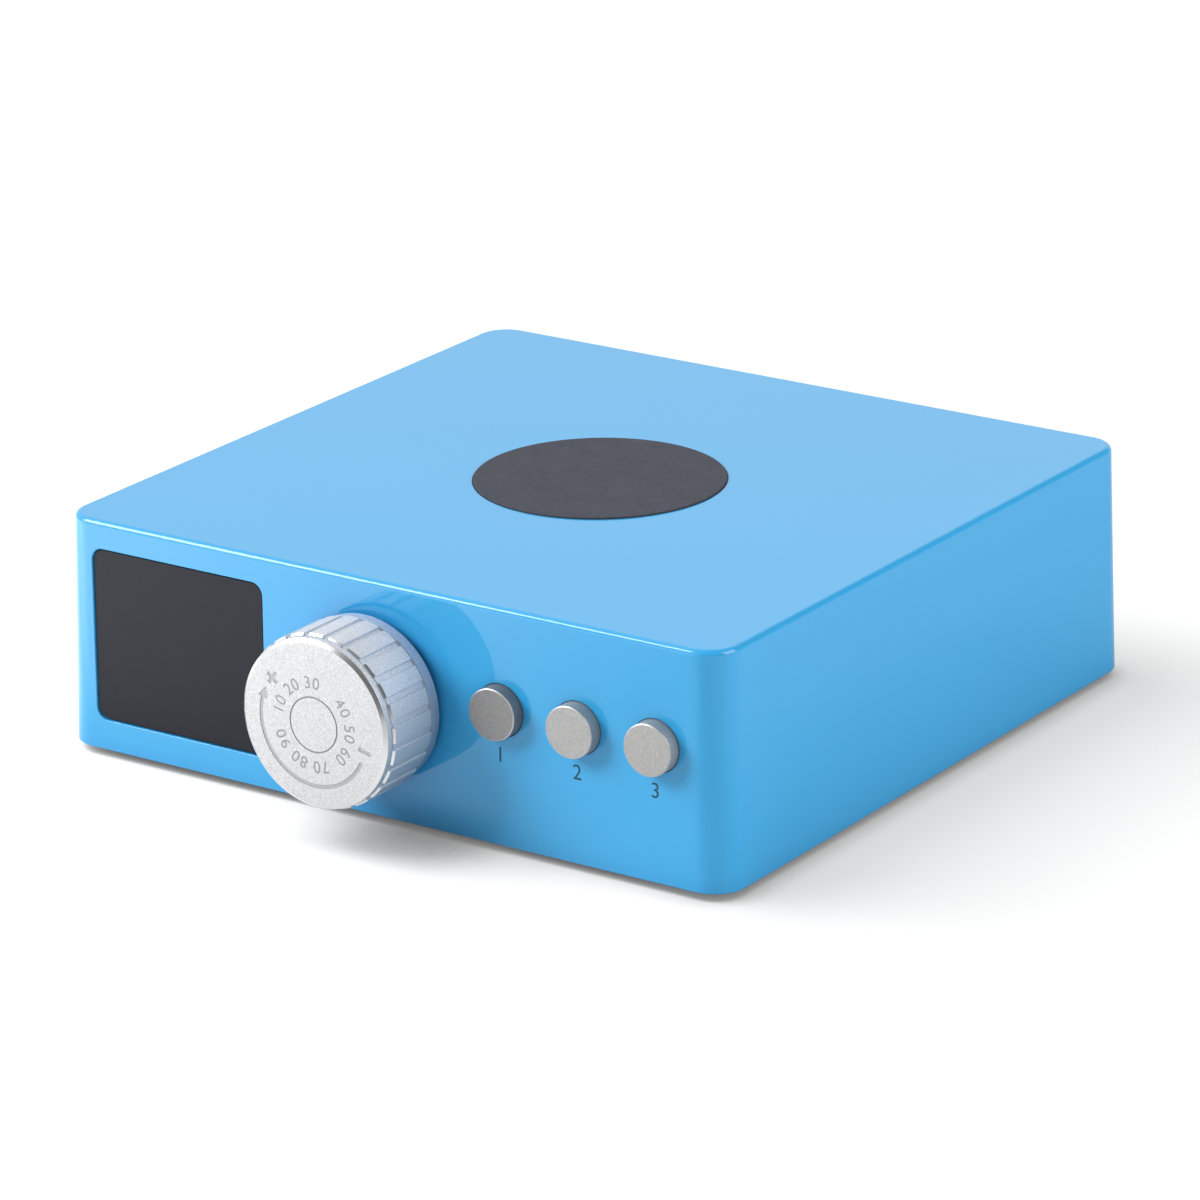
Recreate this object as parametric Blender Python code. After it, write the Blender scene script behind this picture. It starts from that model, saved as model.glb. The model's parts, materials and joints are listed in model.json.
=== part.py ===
"""Table-top control unit of a dental micromotor, as a bench technician would take it apart.

Lengths are metres, angles are degrees, +Z is up and -Y faces the user. The pieces are modelled
round the housing datum: the middle of the lower edge of the upper housing. The datum is then
placed so that the feet stand on Z = 0 and the whole unit is centred on X and Y.
"""

import math

import bmesh
import bpy

# Clearances and facets
SEAT_GAP = 0.0003
EMBED = 0.0008
OVERRUN = 0.0020
CORNER_STEPS = 6
FILLET_STEPS = 3
ROUND_STEPS = 28
SMALL_STEPS = 12
PIN_STEPS = 8
SLOT_END_STEPS = 1
SHARP_ANGLE = 32.0

# Upper housing
HOUSING_WIDTH = 0.1800
HOUSING_DEPTH = 0.1727
HOUSING_HEIGHT = 0.0547
CORNER_RADIUS = 0.0077
TOP_EDGE_RADIUS = 0.0013
WALL = 0.0028
TOP_WALL = 0.0030
SIDE_DRAFT = 1.39
FRONT_DRAFT = 0.73
BACK_DRAFT = 0.80

# Base plate, its screws and the feet
PLATE_RECESS = 0.0004
PLATE_THICKNESS = 0.0025
LIP_HEIGHT = 0.0030
LIP_THICKNESS = 0.0015
VENT_COUNT = 9
VENT_PITCH = 0.0080
VENT_WIDTH = 0.0020
VENT_LENGTH = 0.0340
VENT_END_SHARE = 0.48
BASE_BOSS_SIDE_INSET = 0.0115
BASE_BOSS_REAR_INSET = 0.01185
BASE_BOSS_FRONT_INSET = 0.02435
BASE_BOSS_RADIUS = 0.0038
RIB_THICKNESS = 0.0016
RIB_CLEARANCE = 0.0010
M3_SHANK_RADIUS = 0.00145
M3_HEAD_RADIUS = 0.0028
M3_HEAD_HEIGHT = 0.0012
M3_LENGTH = 0.0100
HEAD_RECESS = 0.0015
FOOT_SIDE_INSET = 0.0260
FOOT_REAR_INSET = 0.02235
FOOT_FRONT_INSET = 0.01835
FOOT_RADIUS = 0.0066
FOOT_EDGE = 0.0005
FOOT_LIFT = 0.0018
FOOT_STEM_RADIUS = 0.0022
FOOT_BARB_RADIUS = 0.0032
FOOT_BARB_TIP_RADIUS = 0.0022
FOOT_BARB_HEIGHT = 0.0018

# Round pad let into the top
TOP_PAD_X = 0.0008
TOP_PAD_Y = -0.0011
TOP_PAD_RADIUS = 0.0291
TOP_PAD_DEPTH = 0.0017
TOP_PAD_PROUD = 0.0004
TOP_PAD_EDGE = 0.0003

# Row of display, knob and buttons on the front: shares of its spare width, from the left
LEFT_GAP_SHARE = 0.163
KNOB_GAP_SHARE = 0.312
BUTTON_GAP_SHARE = 0.292

# Display on the left of the front
DISPLAY_WIDTH = 0.0480
DISPLAY_TOP_MARGIN = 0.00655
DISPLAY_BOTTOM_MARGIN = 0.00725
DISPLAY_CORNER = 0.0030
WINDOW_RECESS = 0.0004
WINDOW_THICKNESS = 0.0011
VIEW_MARGIN = 0.0022
VIEW_CORNER = 0.0012
FRAME_MARGIN = 0.0010
FRAME_RIM = 0.0015
PANEL_DEPTH = 0.0040

# Front board behind the panel, and its screws
BOARD_SETBACK = 0.0100
BOARD_THICKNESS = 0.0016
BOARD_SIDE_GAP = 0.0018
BOARD_LOW_Z = 0.0045
BOARD_TOP_GAP = 0.0012
BOARD_BOSS_RADIUS = 0.0024
BOARD_BOSS_REACH = 0.0130
BOARD_BOSS_INSET = 0.0050
GUIDE_THICKNESS = 0.0016
GUIDE_LAP = 0.0022
M25_SHANK_RADIUS = 0.0011
M25_HEAD_RADIUS = 0.0021
M25_HEAD_HEIGHT = 0.0016
M25_LENGTH = 0.0055

# Speed knob and its encoder; stations are measured outwards from the front panel
KNOB_FACE = 0.0208
KNOB_FACE_RADIUS = 0.01865
KNOB_RIM_RADIUS = 0.0195
KNOB_CHAMFER = 0.00055
KNOB_NECK_RADIUS = 0.0193
KNOB_NECK_DROP = 0.0002
KNOB_NECK_LENGTH = 0.00145
PAD_COUNT = 24
PAD_PHASE = 9.0
PAD_RADIUS = 0.02005
PAD_CHAMFER = 0.0008
PAD_REAR = 0.0049
NOTCH_WIDTH = 0.0011
NOTCH_FLOOR_WIDTH = 0.0007
NOTCH_FLOOR_RADIUS = 0.01935
KNOB_BAND_RADIUS = 0.01947
KNOB_BAND_CHAMFER = 0.0004
KNOB_REAR = 0.0011
KNOB_CAVITY_RADIUS = 0.0163
KNOB_CAVITY_TOP = 0.0155
KNOB_HUB_RADIUS = 0.0082
KNOB_HUB_REAR = 0.0055
KNOB_BORE_RADIUS = 0.0062
KNOB_BORE_TOP = 0.0175
RING_RADIUS = 0.0063
RING_WIDTH = 0.0003
RING_DEPTH = 0.00015
SHAFT_RADIUS = 0.0030
SHAFT_FLAT = 0.0015
SHAFT_END = 0.0158
SHAFT_FLAT_START = 0.0070
SHAFT_TAIL = 0.0020
SHAFT_GAP = 0.0002
BUSHING_RADIUS = 0.0045
BUSHING_END = 0.0039
ENCODER_SIZE = 0.0124
WASHER_RADIUS = 0.0064
WASHER_THICKNESS = 0.0005
NUT_SIDES = 6
NUT_RADIUS = 0.0068
NUT_THICKNESS = 0.0020

# Three push buttons on the right of the front, and their switches
BUTTON_NAMES = ("direction", "set", "memory")
BUTTON_PITCH = 0.02015
BUTTON_RISE = 0.0036
BUTTON_RADIUS = 0.0060
BUTTON_PROUD = 0.00335
BUTTON_EDGE = 0.0004
BUTTON_GAP = 0.00035
BUTTON_TRAVEL = 0.0005
FLANGE_OVERLAP = 0.0012
FLANGE_THICKNESS = 0.0012
STEM_RADIUS = 0.0020
SWITCH_SIZE = 0.0060
SWITCH_HEIGHT = 0.0034
PLUNGER_RADIUS = 0.00175
PLUNGER_PROUD = 0.00065
PLUNGER_DEPTH = 0.0014
PLUNGER_GAP = 0.00025

# Main board on the base plate, and what it carries
MAIN_BOARD_WIDTH = 0.1200
MAIN_BOARD_DEPTH = 0.0920
STANDOFF_RADIUS = 0.0030
STANDOFF_HEIGHT = 0.0053
STANDOFF_INSET = 0.0050
SNAP_PIN_RADIUS = 0.0014
SNAP_HEAD_RADIUS = 0.0019
SNAP_TIP_RADIUS = 0.0010
SNAP_HEAD_HEIGHT = 0.0020
SINK_WIDTH = 0.0780
SINK_Y = 0.0050
SINK_BASE = 0.0040
SINK_HEIGHT = 0.0260
FIN_COUNT = 9
FIN_LENGTH = 0.0160
FIN_THICKNESS = 0.0020
BRIDGE_COUNT = 3
BRIDGE_PITCH = 0.0240
BRIDGE_WIDTH = 0.0200
BRIDGE_BODY = 0.0045
BRIDGE_BODY_HEIGHT = 0.0142
BRIDGE_TAB = 0.0015
BRIDGE_HEIGHT = 0.0205
CAPACITOR_X = (-0.0480, -0.0310)
CAPACITOR_Y = -0.0200
CAPACITOR_RADIUS = 0.0063
CAPACITOR_HEIGHT = 0.0220
CAPACITOR_EDGE = 0.0006
BUZZER_X = 0.0480
BUZZER_Y = -0.0220
BUZZER_RADIUS = 0.0060
BUZZER_HEIGHT = 0.0095
CHIP_X = -0.0050
CHIP_Y = -0.0220
CHIP_SIZE = 0.0140
CHIP_HEIGHT = 0.0016
HEADER_X = 0.0240
HEADER_WIDTH = 0.0180
HEADER_THICKNESS = 0.0060
HEADER_HEIGHT = 0.0080
FRONT_HEADER_Z = 0.0300
MAIN_HEADER_INSET = 0.0060
RIBBON_WIDTH = 0.0160
RIBBON_THICKNESS = 0.0010
RIBBON_BEND = 0.0060
RIBBON_STEPS = 8

# Rear panel; stations are measured outwards from the rear panel
REAR_Z = 0.0280
MOTOR_SOCKET_INSET = 0.0320
MOTOR_PROUD = 0.0060
MOTOR_COLLAR_RADIUS = 0.0076
MOTOR_BARREL_RADIUS = 0.0079
MOTOR_FLANGE_RADIUS = 0.0100
MOTOR_FLANGE = 0.0018
MOTOR_CAVITY_RADIUS = 0.0060
MOTOR_BARREL_LENGTH = 0.0090
MOTOR_INSERT_FRONT = -0.0045
MOTOR_PIN_COUNT = 5
MOTOR_PIN_CIRCLE = 0.0034
MOTOR_PIN_RADIUS = 0.0006
MOTOR_PIN_TIP = -0.0008
MOTOR_PIN_TAIL = -0.0125
MOTOR_NUT_RADIUS = 0.0108
MOTOR_NUT_THICKNESS = 0.0025
PEDAL_SOCKET_X = -0.0180
PEDAL_PROUD = 0.0042
PEDAL_FERRULE_RADIUS = 0.0047
PEDAL_BORE_RADIUS = 0.0033
PEDAL_BODY_SIZE = 0.0160
PEDAL_BODY_DEPTH = 0.0210
PEDAL_BACK_WALL = 0.0020
PEDAL_NUT_RADIUS = 0.0070
PEDAL_NUT_THICKNESS = 0.0022
INLET_X = 0.0220
INLET_PROUD = 0.0016
INLET_FLANGE_RADIUS = 0.0060
INLET_BODY_RADIUS = 0.0046
INLET_CAVITY_RADIUS = 0.0029
INLET_CAVITY_DEPTH = 0.0090
INLET_BODY_LENGTH = 0.0120
INLET_PIN_RADIUS = 0.0010
INLET_PIN_RECESS = 0.0008
INLET_PIN_TAIL = 0.0030
INLET_NUT_RADIUS = 0.0075
INLET_NUT_THICKNESS = 0.0020
SWITCH_INSET = 0.0300
BEZEL_WIDTH = 0.0150
BEZEL_HEIGHT = 0.0210
BEZEL_THICKNESS = 0.0018
BEZEL_CORNER = 0.0015
BEZEL_LAP = 0.0010
SWITCH_BODY_DEPTH = 0.0140
SWITCH_SIDE_WALL = 0.0014
SWITCH_CAVITY_DEPTH = 0.0078
ROCKER_RADIUS = 0.0075
ROCKER_THROW = 20.0
ROCKER_PIVOT = 0.0011
ROCKER_CREST = 0.0012
ROCKER_BACK = 0.0038
ROCKER_GAP = 0.0003
TRUNNION_RADIUS = 0.0012
TRUNNION_REACH = 0.0006
BLADE_WIDTH = 0.0048
BLADE_THICKNESS = 0.0008
BLADE_LENGTH = 0.0070
BLADE_SPACING = 0.0080

# Inner leads from the rear sockets to the main board
MOTOR_LEAD_RADIUS = 0.0028
SINGLE_LEAD_RADIUS = 0.0013
LEAD_REACH_SHARE = 0.5
LEAD_STEPS = 9
LEAD_BEVEL_RESOLUTION = 2
LANDING_SIDE_INSET = 0.0140
LANDING_REAR_INSET = 0.0060

# Slopes of the drafted walls, as run per unit of height
SIDE_SLOPE = math.tan(math.radians(SIDE_DRAFT))
FRONT_SLOPE = math.tan(math.radians(FRONT_DRAFT))
BACK_SLOPE = math.tan(math.radians(BACK_DRAFT))


def front_y(height):
    """Outer face of the front wall at a height above the datum."""
    return height * FRONT_SLOPE - HOUSING_DEPTH / 2


def back_y(height):
    """Outer face of the rear wall at a height above the datum."""
    return HOUSING_DEPTH / 2 - height * BACK_SLOPE


def side_x(height):
    """Outer face of the right wall at a height above the datum."""
    return HOUSING_WIDTH / 2 - height * SIDE_SLOPE


# Places that follow from the sizes above
FACING_FRONT = (math.pi / 2, 0, 0)
FACING_BACK = (math.pi / 2, 0, math.pi)
LEANING_FRONT = (math.pi / 2 - math.radians(FRONT_DRAFT), 0, 0)
FACING_DOWN = (math.pi, 0, 0)
UPRIGHT = (0, 0, 0)
PLATE_TOP = PLATE_RECESS + PLATE_THICKNESS
LIP_TOP = PLATE_TOP + LIP_HEIGHT
LIP_OUTER_INSET = WALL + SEAT_GAP + LIP_TOP * SIDE_SLOPE
BOSS_BOTTOM = PLATE_TOP + SEAT_GAP
INNER_TOP = HOUSING_HEIGHT - TOP_WALL
BOARD_FRONT_Y = BOARD_SETBACK - HOUSING_DEPTH / 2
BOARD_BACK_Y = BOARD_FRONT_Y + BOARD_THICKNESS
BOARD_HIGH_Z = INNER_TOP - BOARD_TOP_GAP
BOARD_HALF_WIDTH = side_x(BOARD_HIGH_Z) - WALL - BOARD_SIDE_GAP
MAIN_BOARD_BOTTOM = PLATE_TOP + STANDOFF_HEIGHT + SEAT_GAP
MAIN_BOARD_TOP = MAIN_BOARD_BOTTOM + BOARD_THICKNESS
ON_BOARD = MAIN_BOARD_TOP + SEAT_GAP
DISPLAY_HEIGHT = HOUSING_HEIGHT - DISPLAY_TOP_MARGIN - DISPLAY_BOTTOM_MARGIN
DISPLAY_Z = DISPLAY_BOTTOM_MARGIN + DISPLAY_HEIGHT / 2
KNOB_Z = DISPLAY_Z
BUTTON_Z = DISPLAY_Z + BUTTON_RISE
ROW_END = side_x(DISPLAY_Z) - WALL - FLANGE_OVERLAP - SEAT_GAP
ROW_WIDTH = DISPLAY_WIDTH + 2 * PAD_RADIUS + 2 * BUTTON_RADIUS + (len(BUTTON_NAMES) - 1) * BUTTON_PITCH
ROW_SPARE = 2 * ROW_END - ROW_WIDTH
DISPLAY_X = LEFT_GAP_SHARE * ROW_SPARE - ROW_END + DISPLAY_WIDTH / 2
KNOB_X = DISPLAY_X + DISPLAY_WIDTH / 2 + KNOB_GAP_SHARE * ROW_SPARE + PAD_RADIUS
BUTTON_FIRST_X = KNOB_X + PAD_RADIUS + BUTTON_GAP_SHARE * ROW_SPARE + BUTTON_RADIUS
MAIN_HEADER_Y = MAIN_HEADER_INSET - MAIN_BOARD_DEPTH / 2
MOTOR_SOCKET_X = MOTOR_SOCKET_INSET - HOUSING_WIDTH / 2
SWITCH_X = HOUSING_WIDTH / 2 - SWITCH_INSET
UNIT_FRONT = front_y(KNOB_Z) - KNOB_FACE
UNIT_BACK = back_y(REAR_Z) + MOTOR_PROUD
CORNERS = ("front_left", "rear_left", "front_right", "rear_right")


def corner_places(side_inset, front_inset, rear_inset):
    """Places near the four corners of the underside, in the order of CORNERS."""
    x = HOUSING_WIDTH / 2 - side_inset
    return [
        (side * x, y)
        for side in (-1, 1)
        for y in (front_inset - HOUSING_DEPTH / 2, HOUSING_DEPTH / 2 - rear_inset)
    ]


FEET = corner_places(FOOT_SIDE_INSET, FOOT_FRONT_INSET, FOOT_REAR_INSET)
BASE_BOSSES = corner_places(BASE_BOSS_SIDE_INSET, BASE_BOSS_FRONT_INSET, BASE_BOSS_REAR_INSET)
BOARD_BOSSES = [
    (KNOB_X + side * BOARD_BOSS_REACH, z)
    for side in (-1, 1)
    for z in (BOARD_LOW_Z + BOARD_BOSS_INSET, BOARD_HIGH_Z - BOARD_BOSS_INSET)
]
STANDOFFS = [
    (side * (MAIN_BOARD_WIDTH / 2 - STANDOFF_INSET), end * (MAIN_BOARD_DEPTH / 2 - STANDOFF_INSET))
    for side in (-1, 1)
    for end in (-1, 1)
]


def clear_scene():
    """Start from an empty scene."""
    for item in list(bpy.data.objects):
        bpy.data.objects.remove(item, do_unlink=True)


def finish(name, colour, roughness, metallic=0.0):
    """One plain material for one kind of surface."""
    material = bpy.data.materials.new(name)
    material.use_nodes = True
    shader = material.node_tree.nodes["Principled BSDF"]
    shader.inputs["Base Color"].default_value = (*colour, 1.0)
    shader.inputs["Roughness"].default_value = roughness
    shader.inputs["Metallic"].default_value = metallic
    return material


def empty(name, parent, location, rotation=UPRIGHT):
    """A datum or an axis that pieces hang on."""
    item = bpy.data.objects.new(name, None)
    item.location = location
    item.rotation_euler = rotation
    item.parent = parent
    bpy.context.scene.collection.objects.link(item)
    return item


def to_object(name, shape, material=None):
    """Close a bmesh into an object with its faces pointing out."""
    bmesh.ops.recalc_face_normals(shape, faces=shape.faces)
    mesh = bpy.data.meshes.new(name)
    shape.to_mesh(mesh)
    shape.free()
    if material:
        mesh.materials.append(material)
    mesh.shade_smooth()
    mesh.set_sharp_from_angle(angle=math.radians(SHARP_ANGLE))
    item = bpy.data.objects.new(name, mesh)
    bpy.context.scene.collection.objects.link(item)
    return item


def place(item, parent, location=(0, 0, 0), rotation=UPRIGHT):
    """Hang an object on its parent."""
    item.parent = parent
    item.location = location
    item.rotation_euler = rotation
    return item


def loft(name, rings, material=None):
    """Skin rings of equally many points and cap both ends."""
    shape = bmesh.new()
    loops = [[shape.verts.new(point) for point in ring] for ring in rings]
    for lower, upper in zip(loops, loops[1:]):
        for index, corner in enumerate(lower):
            after = (index + 1) % len(lower)
            shape.faces.new((corner, lower[after], upper[after], upper[index]))
    shape.faces.new(loops[0])
    shape.faces.new(loops[-1])
    return to_object(name, shape, material)


def prism(name, outline, low, high, material=None):
    """Extrude a flat outline along local Z."""
    return loft(name, [[(x, y, level) for x, y in outline] for level in (low, high)], material)


def turned(name, profile, material=None, steps=ROUND_STEPS):
    """Spin a profile of (radius, height) points round local Z; a tube's profile closes on itself."""
    shape = bmesh.new()
    corners = [shape.verts.new((radius, 0, height)) for radius, height in profile]
    edges = [shape.edges.new(pair) for pair in zip(corners, corners[1:])]
    if profile[0][0] > 0:
        edges.append(shape.edges.new((corners[-1], corners[0])))
    bmesh.ops.spin(
        shape, geom=corners + edges, cent=(0, 0, 0), axis=(0, 0, 1), angle=math.tau, steps=steps, use_merge=True
    )
    bmesh.ops.remove_doubles(shape, verts=shape.verts, dist=SEAT_GAP / ROUND_STEPS)
    return to_object(name, shape, material)


def rod(name, radius, low, high, material=None, steps=SMALL_STEPS):
    """A plain round bar along local Z."""
    return turned(name, [(0, low), (radius, low), (radius, high), (0, high)], material, steps)


def tube(name, inner, outer, low, high, material=None, steps=ROUND_STEPS):
    """A plain round tube along local Z."""
    return turned(name, [(inner, low), (outer, low), (outer, high), (inner, high)], material, steps)


def rounded_outline(x_low, x_high, y_low, y_high, radius, steps=CORNER_STEPS):
    """A rectangle with round corners, counter-clockwise from its upper right corner."""
    centres = (
        (x_high - radius, y_high - radius),
        (x_low + radius, y_high - radius),
        (x_low + radius, y_low + radius),
        (x_high - radius, y_low + radius),
    )
    points = []
    for quarter, (x, y) in enumerate(centres):
        for step in range(steps + 1):
            angle = (quarter + step / steps) * math.pi / 2
            points.append((x + radius * math.cos(angle), y + radius * math.sin(angle)))
    return points


def centred_outline(width, height, radius, steps=CORNER_STEPS):
    """A round-cornered rectangle about the local origin."""
    return rounded_outline(-width / 2, width / 2, -height / 2, height / 2, radius, steps)


def box(name, x_span, y_span, z_span, material=None):
    """A block between pairs of planes."""
    (x_low, x_high), (y_low, y_high) = x_span, y_span
    outline = [(x_low, y_low), (x_high, y_low), (x_high, y_high), (x_low, y_high)]
    return prism(name, outline, *z_span, material)


def polygon(radius, count):
    """A regular outline, such as a nut's, about the local origin."""
    return [
        (radius * math.cos(math.tau * index / count), radius * math.sin(math.tau * index / count))
        for index in range(count)
    ]


def combine(target, tools, operation):
    """Cut the tools from the target, or join them to it, and discard them."""
    for tool in tools:
        tool.hide_render = True
        tool.display_type = "WIRE"
        change = target.modifiers.new(operation, "BOOLEAN")
        change.operation = operation
        change.object = tool
    bpy.context.view_layer.update()
    seen = target.evaluated_get(bpy.context.evaluated_depsgraph_get())
    mesh = bpy.data.meshes.new_from_object(seen)
    material = target.data.materials[0] if target.data.materials else None
    mesh.materials.clear()
    if material:
        mesh.materials.append(material)
    mesh.shade_smooth()
    mesh.set_sharp_from_angle(angle=math.radians(SHARP_ANGLE))
    target.modifiers.clear()
    target.data = mesh
    for tool in tools:
        bpy.data.objects.remove(tool, do_unlink=True)
    return target


def cut(target, tools):
    """Take material away."""
    return combine(target, tools, "DIFFERENCE")


def fuse(target, tools):
    """Add material."""
    return combine(target, tools, "UNION")


def screw(name, shank, head, head_height, length, material):
    """A pan-head screw whose head sits on local Z = 0 and whose shank runs down."""
    edge = head_height / 2
    profile = [(0, -length), (shank, -length), (shank, 0), (head, 0), (head, edge), (shank, head_height)]
    return turned(name, profile + [(0, head_height)], material, SMALL_STEPS)


def housing_ring(height, inset, radius):
    """Outline of the drafted housing at a height, moved in from its outer face."""
    x = side_x(height) - inset
    return [
        (px, py, height)
        for px, py in rounded_outline(-x, x, front_y(height) + inset, back_y(height) - inset, radius)
    ]


def housing_shell(material):
    """The moulded cover: drafted walls, a rounded top edge and an open underside."""
    shoulder = HOUSING_HEIGHT - TOP_EDGE_RADIUS
    rings = [housing_ring(0, 0, CORNER_RADIUS)]
    for step in range(FILLET_STEPS + 1):
        angle = math.pi / 2 * step / FILLET_STEPS
        inset = TOP_EDGE_RADIUS * (1 - math.cos(angle))
        rings.append(housing_ring(shoulder + TOP_EDGE_RADIUS * math.sin(angle), inset, CORNER_RADIUS - inset))
    shell = loft("upper_housing", rings, material)
    hollow = loft("hollow", [housing_ring(z, WALL, CORNER_RADIUS - WALL) for z in (-OVERRUN, INNER_TOP)])
    return cut(shell, [hollow])


def base_boss_tools(x, y, datum):
    """A hanging screw boss with a rib that ties it to the side wall."""
    side = math.copysign(1, x)
    rib_bottom = LIP_TOP + RIB_CLEARANCE
    reach = side_x(rib_bottom) - WALL / 2
    half = RIB_THICKNESS / 2
    boss = rod("boss", BASE_BOSS_RADIUS, BOSS_BOTTOM, INNER_TOP + EMBED)
    rib = box("rib", sorted((x, side * reach)), (y - half, y + half), (rib_bottom, INNER_TOP + EMBED))
    return [place(boss, datum, (x, y, 0)), place(rib, datum)]


def board_boss_tool(x, z, datum):
    """A boss on the inner face of the front wall that carries the front board."""
    y = BOARD_FRONT_Y - SEAT_GAP
    boss = rod("board_boss", BOARD_BOSS_RADIUS, 0, y - front_y(z) - WALL + EMBED)
    return place(boss, datum, (x, y, z), FACING_FRONT)


def board_guide_tool(side, datum):
    """A rib down the side wall that the end of the front board leans on."""
    inner = BOARD_HALF_WIDTH - GUIDE_LAP
    bottom = LIP_TOP + RIB_CLEARANCE
    outer = side_x(bottom) - WALL / 2
    low = BOARD_BACK_Y + SEAT_GAP
    span = sorted((side * inner, side * outer))
    return place(box("guide", span, (low, low + GUIDE_THICKNESS), (bottom, INNER_TOP + EMBED)), datum)


def housing_openings(datum):
    """Everything that is cut through or into the housing."""
    tools = []
    for x, y in BASE_BOSSES:
        pilot = rod("pilot", M3_SHANK_RADIUS + SEAT_GAP, BOSS_BOTTOM - OVERRUN, BOSS_BOTTOM + M3_LENGTH)
        tools.append(place(pilot, datum, (x, y, 0)))
    for x, z in BOARD_BOSSES:
        pilot = rod("board_pilot", M25_SHANK_RADIUS + SEAT_GAP, -OVERRUN, M25_LENGTH - BOARD_THICKNESS)
        tools.append(place(pilot, datum, (x, BOARD_FRONT_Y - SEAT_GAP, z), FACING_FRONT))
    seat = WINDOW_RECESS + WINDOW_THICKNESS + SEAT_GAP
    recess = prism("recess", centred_outline(DISPLAY_WIDTH, DISPLAY_HEIGHT, DISPLAY_CORNER), -seat, OVERRUN)
    view_width = DISPLAY_WIDTH - 2 * VIEW_MARGIN
    view_height = DISPLAY_HEIGHT - 2 * VIEW_MARGIN
    view = prism("view", centred_outline(view_width, view_height, VIEW_CORNER), -WALL - OVERRUN, OVERRUN)
    for tool in (recess, view):
        tools.append(place(tool, datum, (DISPLAY_X, front_y(DISPLAY_Z), DISPLAY_Z), LEANING_FRONT))
    through = (-WALL - OVERRUN, OVERRUN)
    bushing_hole = rod("bushing_hole", BUSHING_RADIUS + SEAT_GAP, *through, steps=ROUND_STEPS)
    tools.append(place(bushing_hole, datum, (KNOB_X, front_y(KNOB_Z), KNOB_Z), FACING_FRONT))
    for index in range(len(BUTTON_NAMES)):
        hole = rod("button_hole", BUTTON_RADIUS + BUTTON_GAP, *through, steps=ROUND_STEPS)
        x = BUTTON_FIRST_X + index * BUTTON_PITCH
        tools.append(place(hole, datum, (x, front_y(BUTTON_Z), BUTTON_Z), FACING_FRONT))
    floor = HOUSING_HEIGHT - TOP_PAD_DEPTH
    pad_recess = rod("pad_recess", TOP_PAD_RADIUS + SEAT_GAP, floor, HOUSING_HEIGHT + OVERRUN, steps=ROUND_STEPS)
    tools.append(place(pad_recess, datum, (TOP_PAD_X, TOP_PAD_Y, 0)))
    rear_holes = (
        (MOTOR_SOCKET_X, MOTOR_BARREL_RADIUS),
        (PEDAL_SOCKET_X, PEDAL_FERRULE_RADIUS),
        (INLET_X, INLET_BODY_RADIUS),
    )
    for x, radius in rear_holes:
        hole = rod("rear_hole", radius + SEAT_GAP, *through, steps=ROUND_STEPS)
        tools.append(place(hole, datum, (x, back_y(REAR_Z), REAR_Z), FACING_BACK))
    width = BEZEL_WIDTH - 2 * BEZEL_LAP + 2 * SEAT_GAP
    height = BEZEL_HEIGHT - 2 * BEZEL_LAP + 2 * SEAT_GAP
    switch_hole = box("switch_hole", (-width / 2, width / 2), (-height / 2, height / 2), through)
    tools.append(place(switch_hole, datum, (SWITCH_X, back_y(REAR_Z), REAR_Z), FACING_BACK))
    return tools


def upper_housing(datum, material):
    """The cover with its bosses, ribs, board guides and openings."""
    shell = place(housing_shell(material), datum)
    bosses = [tool for x, y in BASE_BOSSES for tool in base_boss_tools(x, y, datum)]
    bosses += [board_boss_tool(x, z, datum) for x, z in BOARD_BOSSES]
    bosses += [board_guide_tool(side, datum) for side in (-1, 1)]
    fuse(shell, bosses)
    return cut(shell, housing_openings(datum))


def snap_post():
    """Profile of a moulded post: a shoulder under the board, a pin through it and a snap head."""
    shoulder = PLATE_TOP + STANDOFF_HEIGHT
    return [
        (0, PLATE_TOP - EMBED),
        (STANDOFF_RADIUS, PLATE_TOP - EMBED),
        (STANDOFF_RADIUS, shoulder),
        (SNAP_PIN_RADIUS, shoulder),
        (SNAP_PIN_RADIUS, ON_BOARD),
        (SNAP_HEAD_RADIUS, ON_BOARD),
        (SNAP_TIP_RADIUS, ON_BOARD + SNAP_HEAD_HEIGHT),
        (0, ON_BOARD + SNAP_HEAD_HEIGHT),
    ]


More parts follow.
